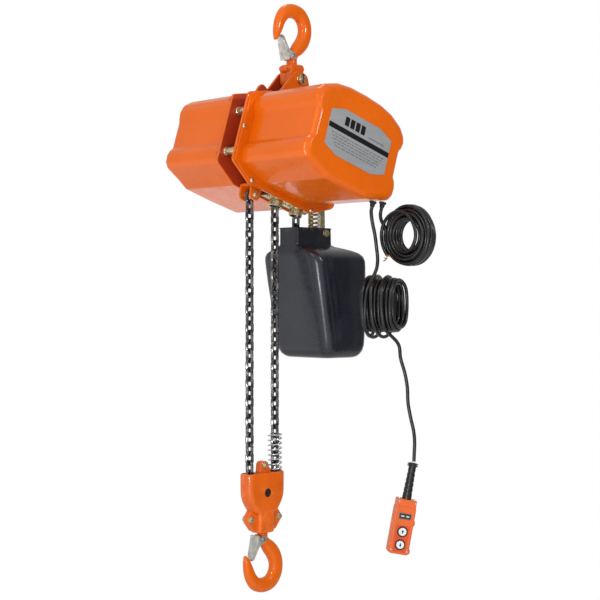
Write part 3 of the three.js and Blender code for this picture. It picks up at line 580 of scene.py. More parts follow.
def cord_boot():
    """Ribbed boot over the pendant station and the two-ring clamp on it."""
    corners = [(4.3, 0.3), (10.4, 0.3), (10.6, 6), (10.2, 12)]
    for k in range(5):
        base = 14 + 11 * k
        wide = 10.2 - 0.36 * k
        corners += [(wide, base), (wide - 0.9, base + 1), (wide - 0.9, base + 3), (wide - 0.1, base + 4)]
    corners += [(8.4, 72), (8.2, 81.5), (4.3, 81.5)]
    profile = [tuple(p) for p in rounded([(r, h, 0.35) for r, h in corners], 2)]
    boot = piece("cord_boot_skin", turned(profile + profile[:1], 40, "Y"), RUBBER, "pendant", "cord_boot",
                 PENDANT)
    rings = joined(ring(8.5, 11.9, 73.5, 76.2, 0.8, 48, "Y"), ring(8.5, 11.9, 77.6, 80.3, 0.8, 48, "Y"),
                   slab(box_outline(-3, 73.2, 3, 80.6, 1), 11, 15.5, "Z", edge=0.6))
    clamp = piece("boot_clamp", rings, BLACK, "pendant", at=PENDANT)
    return [boot, clamp]


def conductors(line):
    """Bare ends of the power cable: three coloured cores bent out of the cut sheath."""
    tip, along = line[-1], (line[-1] - line[-3]).normalized()
    made = []
    for name, drift, sag in (("red", (4, -5, 4), 6), ("blue", (-3, -3, 0), 3), ("yellow", (1, -7, 0), -4)):
        drift = Vector(drift)
        start = tip - along * 3 + drift * 0.2
        down = Vector((0, 0, -sag))
        route = [start + along * far + drift * aside + down * low
                 for far, aside, low in ((0, 0, 0), (8, 0.6, 0), (13, 1.8, 0.4), (15, 3.2, 1))]
        made.append(piece("conductor_" + name, tube(spline(route, 20), 1.3, 10), WIRES[name], "power_cord",
                          flat=False))
    return made


# ---- hooks, latches and yoke ----
# Stations along a hook, from shank to tip: across, away from the shank, half radial, half side.
HOOK_STATIONS = [(0, -128, 11.5, 11.5), (0, -112, 11.5, 11.5), (0, -98, 11.5, 11.5), (0.5, -90, 11.5, 11.5),
                 (7, -80, 12.8, 12.3), (18, -69, 16.4, 12.8), (32.5, -52, 17.5, 13), (40.5, -32, 17, 13),
                 (38.5, -9, 17, 13), (24, 10, 17, 13), (0, 16.2, 16.5, 13), (-22, 10, 15.5, 12),
                 (-36.5, -8, 13.5, 11), (-43, -26, 11.5, 10), (-47.5, -42, 8, 8), (-51, -52, 4.2, 5)]
HUNG = Matrix.Translation((0, BLOCK_Y, LOAD_SEAT_Z)) @ Matrix.Rotation(math.pi, 4, "Y")
LATCH_PIVOT = (0, -8, -90)


def hook_mesh():
    """Forged hook: a rounded section along its stations, with a domed tip."""
    sides = 28
    line = spline([Vector(s) for s in HOOK_STATIONS], 110)
    dome = line[-1] - line[-4]
    dome = Vector((dome.x, dome.y, 0, 0)).normalized()
    last = line[-1]
    for turn in (0.35, 0.7, 1.0, 1.25, 1.45):
        shrink = math.cos(turn)
        closing = Vector((last.x, last.y, last.z * shrink, last.w * shrink))
        line.append(closing + dome * last.z * math.sin(turn))
    rings = []
    for k, (y, z, radial, side) in enumerate(line):
        before, after = line[max(k - 1, 0)], line[min(k + 1, len(line) - 1)]
        along = Vector((0, after.x - before.x, after.y - before.y)).normalized()
        out = Vector((0, along.z, -along.y))
        skin = []
        for i in range(sides):
            c, s = math.cos(math.tau * (i + 0.5) / sides), math.sin(math.tau * (i + 0.5) / sides)
            square = (abs(c) ** 2.5 + abs(s) ** 2.5) ** (-1 / 2.5)
            skin.append(Vector((0, y, z)) + out * (radial * c * square) + Vector((side * s * square, 0, 0)))
        rings.append(skin)
    return loft(rings)


def latch_mesh():
    """Pressed channel: two cheeks that close in towards the tip, and a face over the hook's mouth."""
    cheek = rounded([(-22, -99, 1.5), (-24.5, -88, 4), (-36, -54, 4), (-36.5, -45, 2), (-31.5, -44.5, 2),
                     (-19, -76, 6), (-8, -81, 5), (0.5, -86, 6), (0.5, -98, 7), (-12, -98, 5), (-16, -88, 3),
                     (-19, -98, 1.5)])
    cheeks = []
    for side in (-1, 1):
        points, faces = slab(cheek, side * 14.8, side * 12.8, "X", edge=0.5, steps=2)
        narrowed = [Vector((p.x * (1 - 0.44 * max(0.0, min(1.0, (p.z + 80) / 34))), p.y, p.z))
                    for p in points]
        cheeks.append((narrowed, faces))
    rows = []
    for y, z, half in ((-21, -99, 14), (-23, -92, 14), (-26.5, -82, 14), (-30, -70, 12), (-34, -57, 9.7),
                       (-36.5, -49, 8.3), (-37, -43, 7.8)):
        outer = [Vector((-half, y, z)), Vector((0, y - 0.8, z)), Vector((half, y, z))]
        inner = [Vector((half, y + 2, z + 0.4)), Vector((0, y + 1.2, z + 0.4)),
                 Vector((-half, y + 2, z + 0.4))]
        rows.append(outer + inner)
    return joined(*cheeks, loft(rows))


def latch_pieces(name, node, body, at):
    piece(name + "_channel", latch_mesh(), GALVANISED, body, node, at)
    pin = joined(disc(3, -17.2, 17.2, 0.6, 24, "X", LATCH_PIVOT),
                 disc(4.6, -17.4, -15.2, 0.7, 24, "X", LATCH_PIVOT),
                 disc(4.6, 15.2, 17.4, 0.7, 24, "X", LATCH_PIVOT))
    piece(name + "_rivet", pin, STEEL, body, at=at)
    turns, reach = 6, 11
    coil = winding(4.6, turns, 16, lambda t: reach * (2 * t / turns - 1), "X", LATCH_PIVOT)
    coil = [Vector((-reach, -24, -68))] + coil + [Vector((reach, -24, -68))]
    piece(name + "_spring", tube(coil, 0.8, 8), STEEL, body, at=at, flat=False)


def hooks():
    piece("top_hook_forging", hook_mesh(), ORANGE, "top_hook", "top_hook", flat=False)
    latch_pieces("top_latch", "top_latch", "top_latch", Matrix.Identity(4))
    piece("load_hook_forging", hook_mesh(), ORANGE, "load_hook", "block_hook", HUNG,
          flat=False)
    latch_pieces("load_latch", "block_latch", "load_latch", HUNG)


YOKE_BOLT_Y, YOKE_BOLT_Z = 20, -118


def yoke():
    """Two cast halves clamped round the hook's shank, their bolts, and the pin that carries the body."""
    core = rounded([(-17, -109, 4), (-21, -113, 5), (-20, -128, 4), (-19, -160, 14), (19, -160, 14),
                    (20, -128, 4), (21, -113, 5), (17, -109, 4)], 8)
    for side, name in ((-1, "left"), (1, "right")):
        body_slab = slab(core, side * 0.15, side * 20, "X", [circle(0, PIN_Z, 9.3)], 3.2, 5)
        lobes = [slab(rounded([(end * 12, -111, 3), (end * 24, -110, 6), (end * 29, -117, 6),
                               (end * 27, -126, 6), (end * 12, -130, 3)], 8),
                      side * 0.15, side * 10, "X", edge=2.4, steps=4) for end in (-1, 1)]
        piece(f"yoke_{name}_casting", joined(body_slab, *lobes), CAST_ORANGE, "yoke", f"yoke_{name}_half")
    bolts = []
    for y in (-YOKE_BOLT_Y, YOKE_BOLT_Y):
        bolts += [bolt_head(11, 5, "X", (10, y, YOKE_BOLT_Z), 1),
                  bolt_head(11, 6, "X", (-10, y, YOKE_BOLT_Z), -1),
                  disc(3.5, 14, 17.5, 0.6, 24, "X", (0, y, YOKE_BOLT_Z))]
    piece("yoke_bolts", joined(*bolts), CAST_ORANGE, "yoke")
    at_pin = Matrix.Translation((0, 0, PIN_Z))
    # The pin takes the dark shade red: painted shade for its far head, which sits in shadow behind the yoke
    shape = soft_edges([(0, -37), (15, -37), (15, -30.3), (9, -30.3), (9, 37.5), (0, 37.5)], 1.2)
    piece("suspension_pin_turned", turned(shape, 48, "X"), PAINTED_SHADE_RED, "yoke", "suspension_pin",
          at_pin)
    nut = joined(slab(hexagon(20, 0.3), 31.6, 38.5, "X", edge=0.9), disc(5.5, 38, 39.3, 0.5, 40, "X"),
                 ring(9.4, 11.6, 30.2, 31.5, 0.4, 48, "X"))
    piece("pin_nut_hexagon", nut, ZINC, "yoke", "pin_nut", at_pin)
    eye = [(39.6, y, z) for y, z in ((-1.6, 8), (-2.6, 10.5), (0, 12.5), (2.6, 10.5), (1.6, 8))]
    cotter = joined(tube([(39.6, 0, -9), (39.6, 0, 9)], 1.1, 10), tube(eye, 0.9, 10))
    piece("pin_cotter", cotter, BLACK, "yoke", at=at_pin)


# ---- frame plates and covers ----
def plate_outline(lobe):
    front = [(62, 190, 8), (84, 194, 6)]
    if lobe:
        front = [(60, 190, 5), (68, 211, 10), (80, 226, 11), (92, 208, 6)]
    return rounded([(0, 0, 10), (62, -34, 10), (262, -34, 10), (324, 0, 10), (324, 162, 10), (262, 191, 10),
                    (198, 192, 8), (156, 268, 18), (120, 268, 18), *reversed(front), (0, 162, 10)], 7)


def frame_plates():
    holes = [circle(PIN_V, PIN_W, 9.5), circle(WHEEL_V, WHEEL_W, 21, 56)]
    plates = ((-1, "left", plate_outline(True)), (1, "right", plate_outline(False)))
    for side, name, outline in plates:
        painted = slab(outline, side * PLATE_OUTER, side * PLATE_INNER, "X", holes, 1.4)
        piece(f"frame_plate_{name}_painted", painted, ORANGE, "hoist_body", f"frame_plate_{name}",
              BODY)
    # A thin dark red sheet on each plate's inner face: painted shade where the two plates face each other
    for side, name, outline in plates:
        rim = inset(turned_loop(outline, 1), 2.2)
        shade_sheet = slab(rim, side * (PLATE_INNER - 0.15), side * (PLATE_INNER + 1), "X", holes, 0.1, 1)
        piece(f"frame_plate_{name}_inner_face_shade", shade_sheet, PAINTED_SHADE_RED, "hoist_body",
              at=BODY)
    for where, (v, w) in {"front_upper": (25, 130), "front_lower": (18, 30), "rear_upper": (299, 130),
                          "rear_lower": (306, 30)}.items():
        profile = soft_edges([(0, -23.7), (9.5, -23.7), (9.5, -19), (8.6, -18), (8.6, 18), (9.5, 19),
                              (9.5, 23.7), (0, 23.7)], 0.4)
        piece(f"spacer_{where}_turned", turned(profile, 40, "X", (0, v, w)), ZINC, "hoist_body",
              f"spacer_{where}", BODY)


# Half outlines from the top middle round to the bottom middle: distance from the middle, height, rounding.
CONTROL_PROFILE = [(0, 199.5), (50, 197.5, 60), (88, 190.5, 40), (124, 174, 20), (140, 157, 16),
                   (144.5, 143, 9), (141, 128, 9), (134.5, 118, 9), (134.5, 52, 9), (142, 42, 9),
                   (145.5, 30, 9), (144, 13, 9), (136, 2, 10), (100, -9.5, 16), (64, -20.5, 16), (0, -21)]
MOTOR_PROFILE = [(0, 199.5), (55, 197.5, 60), (95, 190.5, 40), (130, 176, 20), (147.5, 159, 16),
                 (152, 143, 9), (150.5, 128, 9), (147.5, 118, 9), (147.5, 52, 9), (155, 42, 9),
                 (158.5, 30, 9), (157, 12, 9), (148, 1, 10), (110, -13.5, 16), (82, -26.5, 16), (0, -28)]
FLANGE_PROFILE = [(0, 201), (50, 199.5, 60), (88, 192.5, 40), (122, 178.5, 20), (150, 165, 10), (160, 157, 8),
                  (160, 3, 8), (130, -15, 10), (99, -32, 10), (0, -32)]
PROFILE_MIDDLE = 87


def mirrored(profile, steps):
    """A closed outline from a half profile, rounded at its corners."""
    left = [(-s, w, *r) for s, w, *r in profile]
    right = [(s, w, *r) for s, w, *r in profile[1:-1]]
    return rounded([*left, *reversed(right)], steps)


def cover_mesh(profile, centre, side, end):
    """Deep-drawn cover: its wall, rounded end, flange and the inside that closes it."""
    wall = mirrored(profile, 5)
    plate = side * (PLATE_OUTER + 1.3)
    end_round, flange_height, thickness = 17, 3.4, 3

    def skin(x, shrink):
        return [Vector((x, centre + p.x * (1 - shrink / 150),
                        PROFILE_MIDDLE + (p.y - PROFILE_MIDDLE) * (1 - shrink / 110))) for p in wall]

    rings = [skin(end - side * thickness, end_round), skin(end - side * (end_round + 2), thickness),
             skin(plate, thickness)]
    root = plate + side * flange_height
    rings += [skin(plate, 0.5), skin(root, 0.2), skin(root + side * 2, 0.0)]
    rings += [skin(side * x, 0.0) for x in (60, 110, 160)]
    for k in range(13):
        turn = k / 12 * math.pi / 2
        rings.append(skin(end - side * end_round * (1 - math.sin(turn)), end_round * (1 - math.cos(turn))))
    rings += [skin(end, end_round + 6), skin(end, end_round + 30)]
    return loft(rings)


def flange_mesh(profile, centre, side):
    """Flat rim that bolts the cover to its plate, open where the cover stands on it."""
    outer = [Vector((centre + p.x, p.y)) for p in mirrored(FLANGE_PROFILE, 6)]
    shrunk = [Vector((centre + p.x * 0.975, PROFILE_MIDDLE + (p.y - PROFILE_MIDDLE) * 0.965))
              for p in mirrored(profile, 4)]
    low = side * (PLATE_OUTER + 1.2)
    return slab(outer, low, low + side * 3.2, "X", [shrunk], 1.2)


def gasket_mesh(centre, side):
    outer = [Vector((centre + p.x * 1.006, PROFILE_MIDDLE + (p.y - PROFILE_MIDDLE) * 1.008))
             for p in mirrored(FLANGE_PROFILE, 6)]
    hole = circle(centre, PROFILE_MIDDLE, 90, 60)
    low = side * (PLATE_OUTER + 0.1)
    return slab(outer, low, low + side * 1.0, "X", [hole], 0.2, 1)


COVER_SCREWS = {"control": [(7.5, 81.7), (64.3, -25), (256.4, -27.5), (316.5, 81.7)],
                "motor": [(6, 20), (64.3, -26), (256.4, -26), (318, 20), (318, 150), (6, 150)]}


def pan_screw():
    """Round-headed slotted screw, its head on +X, and the dark bar that stands for its slot."""
    head = turned([(0, 3.4), (2.2, 3.1), (4.4, 2.2), (5.6, 0.9), (5.8, 0), (0, 0)], 28, "X")
    return head, slab(box_outline(-3, -0.6, 3, 0.6), 2.7, 3.55, "X", edge=0.1, steps=1)


def covers():
    for name, profile, centre, side, end in (("motor", MOTOR_PROFILE, BODY_V, -1, -230),
                                             ("control", CONTROL_PROFILE, COVER_V, 1, 240)):
        piece(f"{name}_cover_shell", cover_mesh(profile, centre, side, end), ORANGE, "hoist_body",
              f"{name}_cover", BODY)
        piece(f"{name}_cover_flange", flange_mesh(profile, centre, side), ORANGE, "hoist_body",
              at=BODY)
        seal = GASKET if side < 0 else ORANGE
        piece(f"{name}_cover_gasket", gasket_mesh(centre, side), seal, "hoist_body",
              at=BODY)
        heads, slots = [], []
        for v, w in COVER_SCREWS[name]:
            head, bar = pan_screw()
            facing = Matrix.Rotation(0 if side > 0 else math.pi, 4, "Z")
            place = (Matrix.Translation((side * (PLATE_OUTER + 4.3), v, w)) @ facing
                     @ Matrix.Rotation(v * 0.7, 4, "X"))
            heads.append(moved(head, place))
            slots.append(moved(bar, place))
        piece(f"{name}_cover_screws", joined(*heads), ZINC, "hoist_body", at=BODY)
        piece(f"{name}_cover_screw_slots", joined(*slots), BLACK, "hoist_body", at=BODY)


# ---- rating plate: octagon with a dark bar and rows of plain strokes in place of print ----
LABEL_HALF_V, LABEL_HALF_W, LABEL_CUT_V, LABEL_CUT_W = 97, 53.5, 40, 14
LABEL_FACE = 241.3


def on_label(v0, w0, v1, w1, lift=0.25, radius=0.0):
    return slab([Vector((BODY_V + p.x, PROFILE_MIDDLE + p.y)) for p in box_outline(v0, w0, v1, w1, radius)],
                LABEL_FACE - 0.1, LABEL_FACE + lift, "X", edge=0.06, steps=1)


def rating_plate():
    a, b, c, d = LABEL_HALF_V, LABEL_HALF_W, LABEL_HALF_V - LABEL_CUT_V, LABEL_HALF_W - LABEL_CUT_W
    outline = [Vector((BODY_V + v, PROFILE_MIDDLE + w)) for v, w in
               ((-a, -d), (-c, -b), (c, -b), (a, -d), (a, d), (c, b), (-c, b), (-a, d))]
    piece("rating_plate_foil", slab(outline, 240.1, LABEL_FACE, "X", edge=0.35), LABEL, "hoist_body",
          "rating_plate", BODY)
    piece("rating_plate_bar", on_label(-96.5, 0, 96.5, 11.6), INK, "hoist_body",
          at=BODY)
    strokes = [on_label(-52 + 17 * k, 19, -39 + 17 * k, 39, 0.25, 1) for k in range(4)]
    piece("rating_plate_blocks", joined(*strokes), INK, "hoist_body", at=BODY)
    draws = random.Random(3)
    rows = []
    for row in range(5):
        w, end = -9 - 6.5 * row, 84 - 4 * row
        v = -end
        while v < end:
            wide = draws.uniform(5, 13)
            rows.append(on_label(v, w, min(v + wide, end), w + 2.2))
            v += wide + 2.6
    rows.append(on_label(24, 19, 78, 21.5))
    piece("rating_plate_rows", joined(*rows), PALE_INK, "hoist_body", at=BODY)


def carved(mesh, *cutters):
    """The mesh with the cutters taken away from it."""
    made = []
    for points, faces in (mesh, joined(*cutters)):
        data = bpy.data.meshes.new("carving")
        data.from_pydata(points, [], faces)
        work = bmesh.new()
        work.from_mesh(data)
        bmesh.ops.recalc_face_normals(work, faces=work.faces)
        work.to_mesh(data)
        work.free()
        made.append(bpy.data.objects.new("carving", data))
        bpy.context.scene.collection.objects.link(made[-1])
    cut = made[0].modifiers.new("cut", "BOOLEAN")
    cut.object = made[1]
    cut.operation = "DIFFERENCE"
    cut.solver = "EXACT"
    cut.use_self = True
    shaped = made[0].evaluated_get(bpy.context.evaluated_depsgraph_get()).to_mesh()
    result = [v.co.copy() for v in shaped.vertices], [tuple(p.vertices) for p in shaped.polygons]
    for thing in made:
        data = thing.data
        bpy.data.objects.remove(thing)
        bpy.data.meshes.remove(data)
    return result


# ---- chain exits and cable glands ----
def through_bolt(half, head, tail, shank, across=14):
    """Bolt along X through a fork, its hexagon head at -X and its nut at +X."""
    return joined(disc(shank, -half - 1, half + tail - 1, 0.8, 24, "X"),
                  bolt_head(across, head, "X", (-half, 0, 0), -1),
                  bolt_head(across, tail - 1.5, "X", (half, 0, 0), 1))


def chain_exits():
    for name, v in (("load_chain_guide", 175), ("slack_chain_guide", 241)):
        flange = slab(box_outline(-23.5, v - 32, 23.5, v + 32, 4), -30, -25, "Z", [circle(0, v, 12.7)], 0.8)
        boss = turned([(12.7, -27), (17.5, -27), (16, -31), (15.6, -45), (14.8, -46), (13.4, -46),
                       (12.7, -45), (12.7, -27)], 48, "Z", (0, v, 0))
        screws = [disc(4, -33, -30, 0.8, 20, "Z", (0, v + end * 26, 0)) for end in (-1, 1)]
        piece(name + "_casting", joined(flange, boss, *screws), ZINC, "hoist_body", name, BODY)
    cheek = rounded([(77, -26, 2), (81, -60, 11), (107, -60, 11), (111, -26, 2)])
    hole = [circle(94, -47, 5.4, 24)]
    cheeks = [slab(cheek, side * 15, side * 20, "X", hole, 0.8) for side in (-1, 1)]
    web = slab(box_outline(77.5, -31, 110.5, -25, 1), -19, 19, "X", edge=1)
    piece("anchor_fork", joined(*cheeks, web), ORANGE, "hoist_body", "anchor_bracket", BODY)
    bolt = moved(through_bolt(20.3, 6.6, 6.2, 5), Matrix.Translation((0, 94, -47)))
    piece("anchor_bolt_steel", bolt, ZINC, "hoist_body", "anchor_bolt", BODY)
    for name, v, top in (("pendant_gland", PENDANT_GLAND_V, -13.5), ("power_gland", POWER_GLAND_V, -4.5)):
        shape = soft_edges([(4.3, top - 12), (5.2, top - 12), (6, top - 5), (8.4, top - 3), (8.4, top),
                            (4.3, top)], 0.5)
        piece(name + "_nut", turned(shape + shape[:1], 40, "Z", (GLAND_X, v, 0)), BLACK, "hoist_body", name,
              BODY)


# ---- chains: welded links, each turned a quarter from the one before ----
def link(centre, along, flat):
    """One link round its centre, long side along `along` and lying in the plane of `along` and `flat`."""
    along = Vector(along).normalized()
    flat = Vector(flat)
    flat = (flat - along * flat.dot(along)).normalized()
    bend = (CHAIN_WIDTH - CHAIN_WIRE) / 2
    straight = (CHAIN_PITCH - (CHAIN_WIDTH - 2 * CHAIN_WIRE)) / 2
    loop = []
    for end in (1, -1):
        for k in range(9):
            turn = math.pi * k / 8
            loop.append(Vector(centre) + along * end * (straight + bend * math.sin(turn))
                        + flat * end * bend * math.cos(turn))
    return tube(loop, CHAIN_WIRE / 2, 10, True)


def fall_links(y, top, count, first):
    """Plumb run of links downwards from the centre of its top link."""
    return joined(*[link((0, y, top - CHAIN_PITCH * k), (0, 0, 1), ((0, 1, 0), (1, 0, 0))[(k + first) % 2])
                    for k in range(count)])


def links_along(route, flat, first, count):
    """Links at every pitch of a bent route of fine steps; the even ones lie in its own plane."""
    line = even(route, 1.0)
    step = sum((b - a).length for a, b in zip(line, line[1:])) / (len(line) - 1)
    made = []
    for k in range(count):
        i = min(int(round(k * CHAIN_PITCH / step)), len(line) - 2)
        along = line[i + 1] - line[max(i - 1, 0)]
        across = Vector(flat).cross(along)
        made.append(link(line[i], along, across if (k + first) % 2 == 0 else flat))
    return joined(*made)


def arc(centre, radius, start, stop, steps=40):
    turns = [start + (stop - start) * k / steps for k in range(steps + 1)]
    return [Vector((0, centre[0] + radius * math.cos(t), centre[1] + radius * math.sin(t))) for t in turns]


# Height of the top link's centre and the number of links in each hanging run.
ANCHOR_LINK, ANCHOR_LINKS = -420.8, 30
LOAD_LINK, LOAD_LINKS = -448.15, 29
SLACK_LINK, SLACK_LINKS = -470, 3
HEAP_LINKS = 84


def chains():
    for name, y, top, first_link, count, turn in (
            ("anchored_chain", ANCHOR_Y, ANCHOR_TOP, ANCHOR_LINK, ANCHOR_LINKS, 0),
            ("load_chain", LOAD_Y, LOAD_TOP, LOAD_LINK, LOAD_LINKS, 1)):
        run = piece(name + "_links", fall_links(y, first_link, count, turn), CHAIN_BLACK, "chain_falls", name,
                    flat=False)
        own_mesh(run)
    z = ANCHOR_LINK - CHAIN_PITCH * ANCHOR_LINKS
    reeved = ([Vector((0, ANCHOR_Y, z)), Vector((0, ANCHOR_Y, SHEAVE_Z + 1))]
              + arc((BLOCK_Y, SHEAVE_Z), SHEAVE_PITCH, math.pi, math.tau)
              + [Vector((0, LOAD_Y, SHEAVE_Z + 1)), Vector((0, LOAD_Y, z + 20))])
    piece("reeved_links", links_along(reeved, (1, 0, 0), 0, 10), CHAIN_BLACK, "load_block",
          flat=False)
    left, right = WHEEL_V - WHEEL_PITCH, WHEEL_V + WHEEL_PITCH
    lifted = ([Vector((0, left - 1, -34)), Vector((0, left, WHEEL_W))]
              + arc((WHEEL_V, WHEEL_W), WHEEL_PITCH, math.pi, 0)
              + [Vector((0, right, WHEEL_W)), Vector((0, right - 2, -50))])
    piece("wheel_links", links_along(lifted, (1, 0, 0), 1, 17), CHAIN_BLACK, "hoist_body",
          at=BODY, flat=False)
    piece("slack_links", fall_links(SLACK_Y, SLACK_LINK, SLACK_LINKS, 1), CHAIN_BLACK, "slack_fall",
          "slack_chain", flat=False)
    chance = random.Random(21)
    heap = [fall_links(SLACK_Y + 12, -541, 2, 0)]
    for _ in range(HEAP_LINKS):
        turn, reach = chance.uniform(0, math.tau), 40 * math.sqrt(chance.random())
        height = -762 + (1 - (reach / 46) ** 2) * chance.uniform(0, 84)
        along = Vector((chance.uniform(-1, 1), chance.uniform(-1, 1), chance.uniform(-0.25, 0.25)))
        flat = Vector((chance.uniform(-1, 1), chance.uniform(-1, 1), chance.uniform(-1, 1)))
        heap.append(link((reach * math.cos(turn), 92 + reach * math.sin(turn), height), along, flat))
    piece("heaped_links", joined(*heap), CHAIN_BLACK, "bucket", "stored_chain", flat=False)


# ---- load block ----
def block_half(side):
    """Housing and neck of one half, hollow round the sheave, its chain ways, the axle and the hook's nut."""
    inner = 0.15
    levels = [(45, 55.5, 1.6), (44, 56.3, 0.5), (42, 56.5, 0), (20, 56.5, 0), (4, 56.3, 0), (-8, 55, 0),
              (-18, 51.5, 0), (-27, 46.5, 0), (-35, 41, 0), (-42, 36, 0.4), (-44, 34, 1.6)]
    rings = []
    for z, wide, less in levels:
        plan = rounded([(-wide, inner), (-wide + less, 20 - less, 15), (wide - less, 20 - less, 15),
                        (wide, inner)], 9)
        rings.append([Vector((p.y * side, p.x, z)) for p in plan])
    housing = loft(rings)
    neck = []
    for z, less in ((-30, 0), (-86, 0), (-89.6, 0.9), (-91, 2.8)):
        wide, deep = 23.5 - less, 18.4 - less
        plan = rounded([(-wide, inner), (-wide, deep, 8), (wide, deep, 8), (wide, inner)], 8)
        neck.append([Vector((p.y * side, p.x, z)) for p in plan])
    neck = loft(neck)
    room = disc(43.5, -15, 15, 1, 48, "X")
    ways = [slab(box_outline(y - 13.2, 0, y + 13.2, 60, 4), -14.6, 14.6, "X", edge=0)
            for y in (-SHEAVE_PITCH, SHEAVE_PITCH)]
    nut_room = disc(17, -71, -53, 1, 32)
    shank_hole = disc(12.2, -100, -60, 0.5, 32)
    bore = disc(9.9, -30, 30, 0.3, 40, "X")
    return carved(housing, room, *ways, bore), carved(neck, nut_room, shank_hole)


def load_block():
    at = Matrix.Translation((0, BLOCK_Y, SHEAVE_Z))
    for side, name in ((-1, "left"), (1, "right")):
        housing, neck = block_half(side)
        ears = []
        for end in (-1, 1):
            outline = rounded([(end * 30, -30, 2), (end * 39, -38, 4), (end * 50, -53, 4), (end * 49, -66, 5),
                               (end * 33, -86, 5), (end * 17, -86, 2), (end * 17, -40, 2)])
            ears.append(slab(outline, side * 0.15, side * 9, "X", edge=1.8, steps=4))
        lug = slab(rounded([(-13, 40), (-13, 56, 6), (-9, 70.5, 8), (8, 70.5, 9), (15, 56, 8), (21, 40)]),
                   side * 0.15, side * 9, "X", edge=1.8, steps=4)
        piece(f"block_{name}_casting", joined(housing, neck, *ears, lug), CAST_ORANGE, "load_block",
              f"block_half_{name}", at, sharp=32)
    for name, y, z in (("front", -42, -58), ("rear", 42, -58), ("upper", 0, 61)):
        bolt = moved(through_bolt(9.3, 5.9, 6.2, 4, 12), Matrix.Translation((0, BLOCK_Y + y, SHEAVE_Z + z)))
        piece(f"block_{name}_bolt", bolt, ZINC, "load_block", f"block_bolt_{name}")
    pin = joined(disc(8, -15.6, 15.6, 0.4, 32, "X"), disc(9.6, 15.3, 18.4, 0.7, 40, "X"),
                 disc(9.6, -18.4, -15.3, 0.7, 40, "X"), ring(3, 8, 18.2, 19, 0.3, 32, "X"),
                 ring(3, 8, -19, -18.2, 0.3, 32, "X"))
    piece("sheave_axle", pin, BLACK, "load_block", "sheave_pin", at)
    wheel = [(8.3, -12), (16, -12), (17, -10), (40, -10), (41, -9.4), (41, -6), (33, -4.2), (28.6, -3)]
    wheel += [(28, 0)] + [(radius, -x) for radius, x in reversed(wheel)]
    piece("sheave_wheel", turned(wheel + wheel[:1], 64, "X"), STEEL, "block_sheave", "sheave",
          at)
    foot, turns, flat_end = BLOCK_TOP_Z + 2.2, 8.5, 0.6

    def climb(t):
        return foot + 81 * min(max((t - flat_end) / (turns - 2 * flat_end), 0.0), 1.0)

    coil = winding(15.2, turns, 24, climb, at=(0, LOAD_Y, 0))
    piece("buffer_coil", tube(coil, 1.7, 10), STEEL, "load_block", "buffer_spring",
          flat=False)
    nut = ring(11.9, 15.8, LOAD_SEAT_Z + 125.2, LOAD_SEAT_Z + 135.8, 0.8, 40, "Z", (0, BLOCK_Y, 0))
    piece("load_hook_nut", nut, STEEL, "load_hook", "block_hook_nut")


# ---- chain bucket, its hanger and the small spring in it ----
# Rings down the bucket: height, half width, front, rear, corner radius.
BUCKET_RINGS = [(-484.5, 31, -11, 99, 5), (-500, 31, -11, 99.5, 5), (-516, 31, -11, 100, 5),
                (-524, 31.5, -11, 100.5, 6), (-528, 39, -11.5, 108, 10), (-532, 54, -12.5, 124, 16),
                (-537, 70, -14, 140, 22), (-543, 82, -14.5, 151, 21), (-551, 90, -13.5, 157.5, 22),
                (-561, 94.2, -11, 160.4, 23), (-575, 95, -8, 160.9, 23), (-610, 95, -2, 160.9, 23),
                (-640, 94.6, 4, 160.9, 23), (-690, 93.4, 14, 160.9, 23), (-740, 92, 24, 160.9, 23),
                (-758, 91, 26, 160, 23), (-770, 88.4, 29, 157.6, 23), (-778, 84.4, 33, 154, 23),
                (-784, 78, 39, 149, 22), (-787, 71, 46, 143, 20)]
BUCKET_PIVOT = (0, 79.5, -496.5)
BUCKET_WALL = 3
FLUTE_DEPTH, FLUTE_WIDTH, FLUTE_FROM_FRONT = 5, 8, 37
FLUTE_TOP, FLUTE_FOOT = -548, -776


def bucket_skin(less):
    """One face of the bucket's wall, with the flute that runs down each side behind the front corner."""
    rings = []
    for z, half, front, rear, corner in BUCKET_RINGS:
        half, front, rear = half - less, front + less, rear - less
        around = ((-half, front), (half, front), (half, rear), (-half, rear))
        shape = rounded([(x, y, corner) for x, y in around], 8)
        loop = []
        for a, b in zip(shape, shape[1:] + shape[:1]):
            parts = 16 if (b - a).length > 12 else 1
            loop += [a.lerp(b, k / parts) for k in range(parts)]
        fluted = []
        depth = FLUTE_DEPTH * max(0.0, min((FLUTE_TOP - z) / 20, (z - FLUTE_FOOT) / 40, 1.0))
        for p in loop:
            away = (p.y - front - FLUTE_FROM_FRONT) / FLUTE_WIDTH
            pull = depth * math.exp(-away ** 2) if abs(p.x) > half - 2 else 0.0
            fluted.append(Vector((p.x - math.copysign(pull, p.x), p.y, z)))
        rings.append(fluted)
    return rings


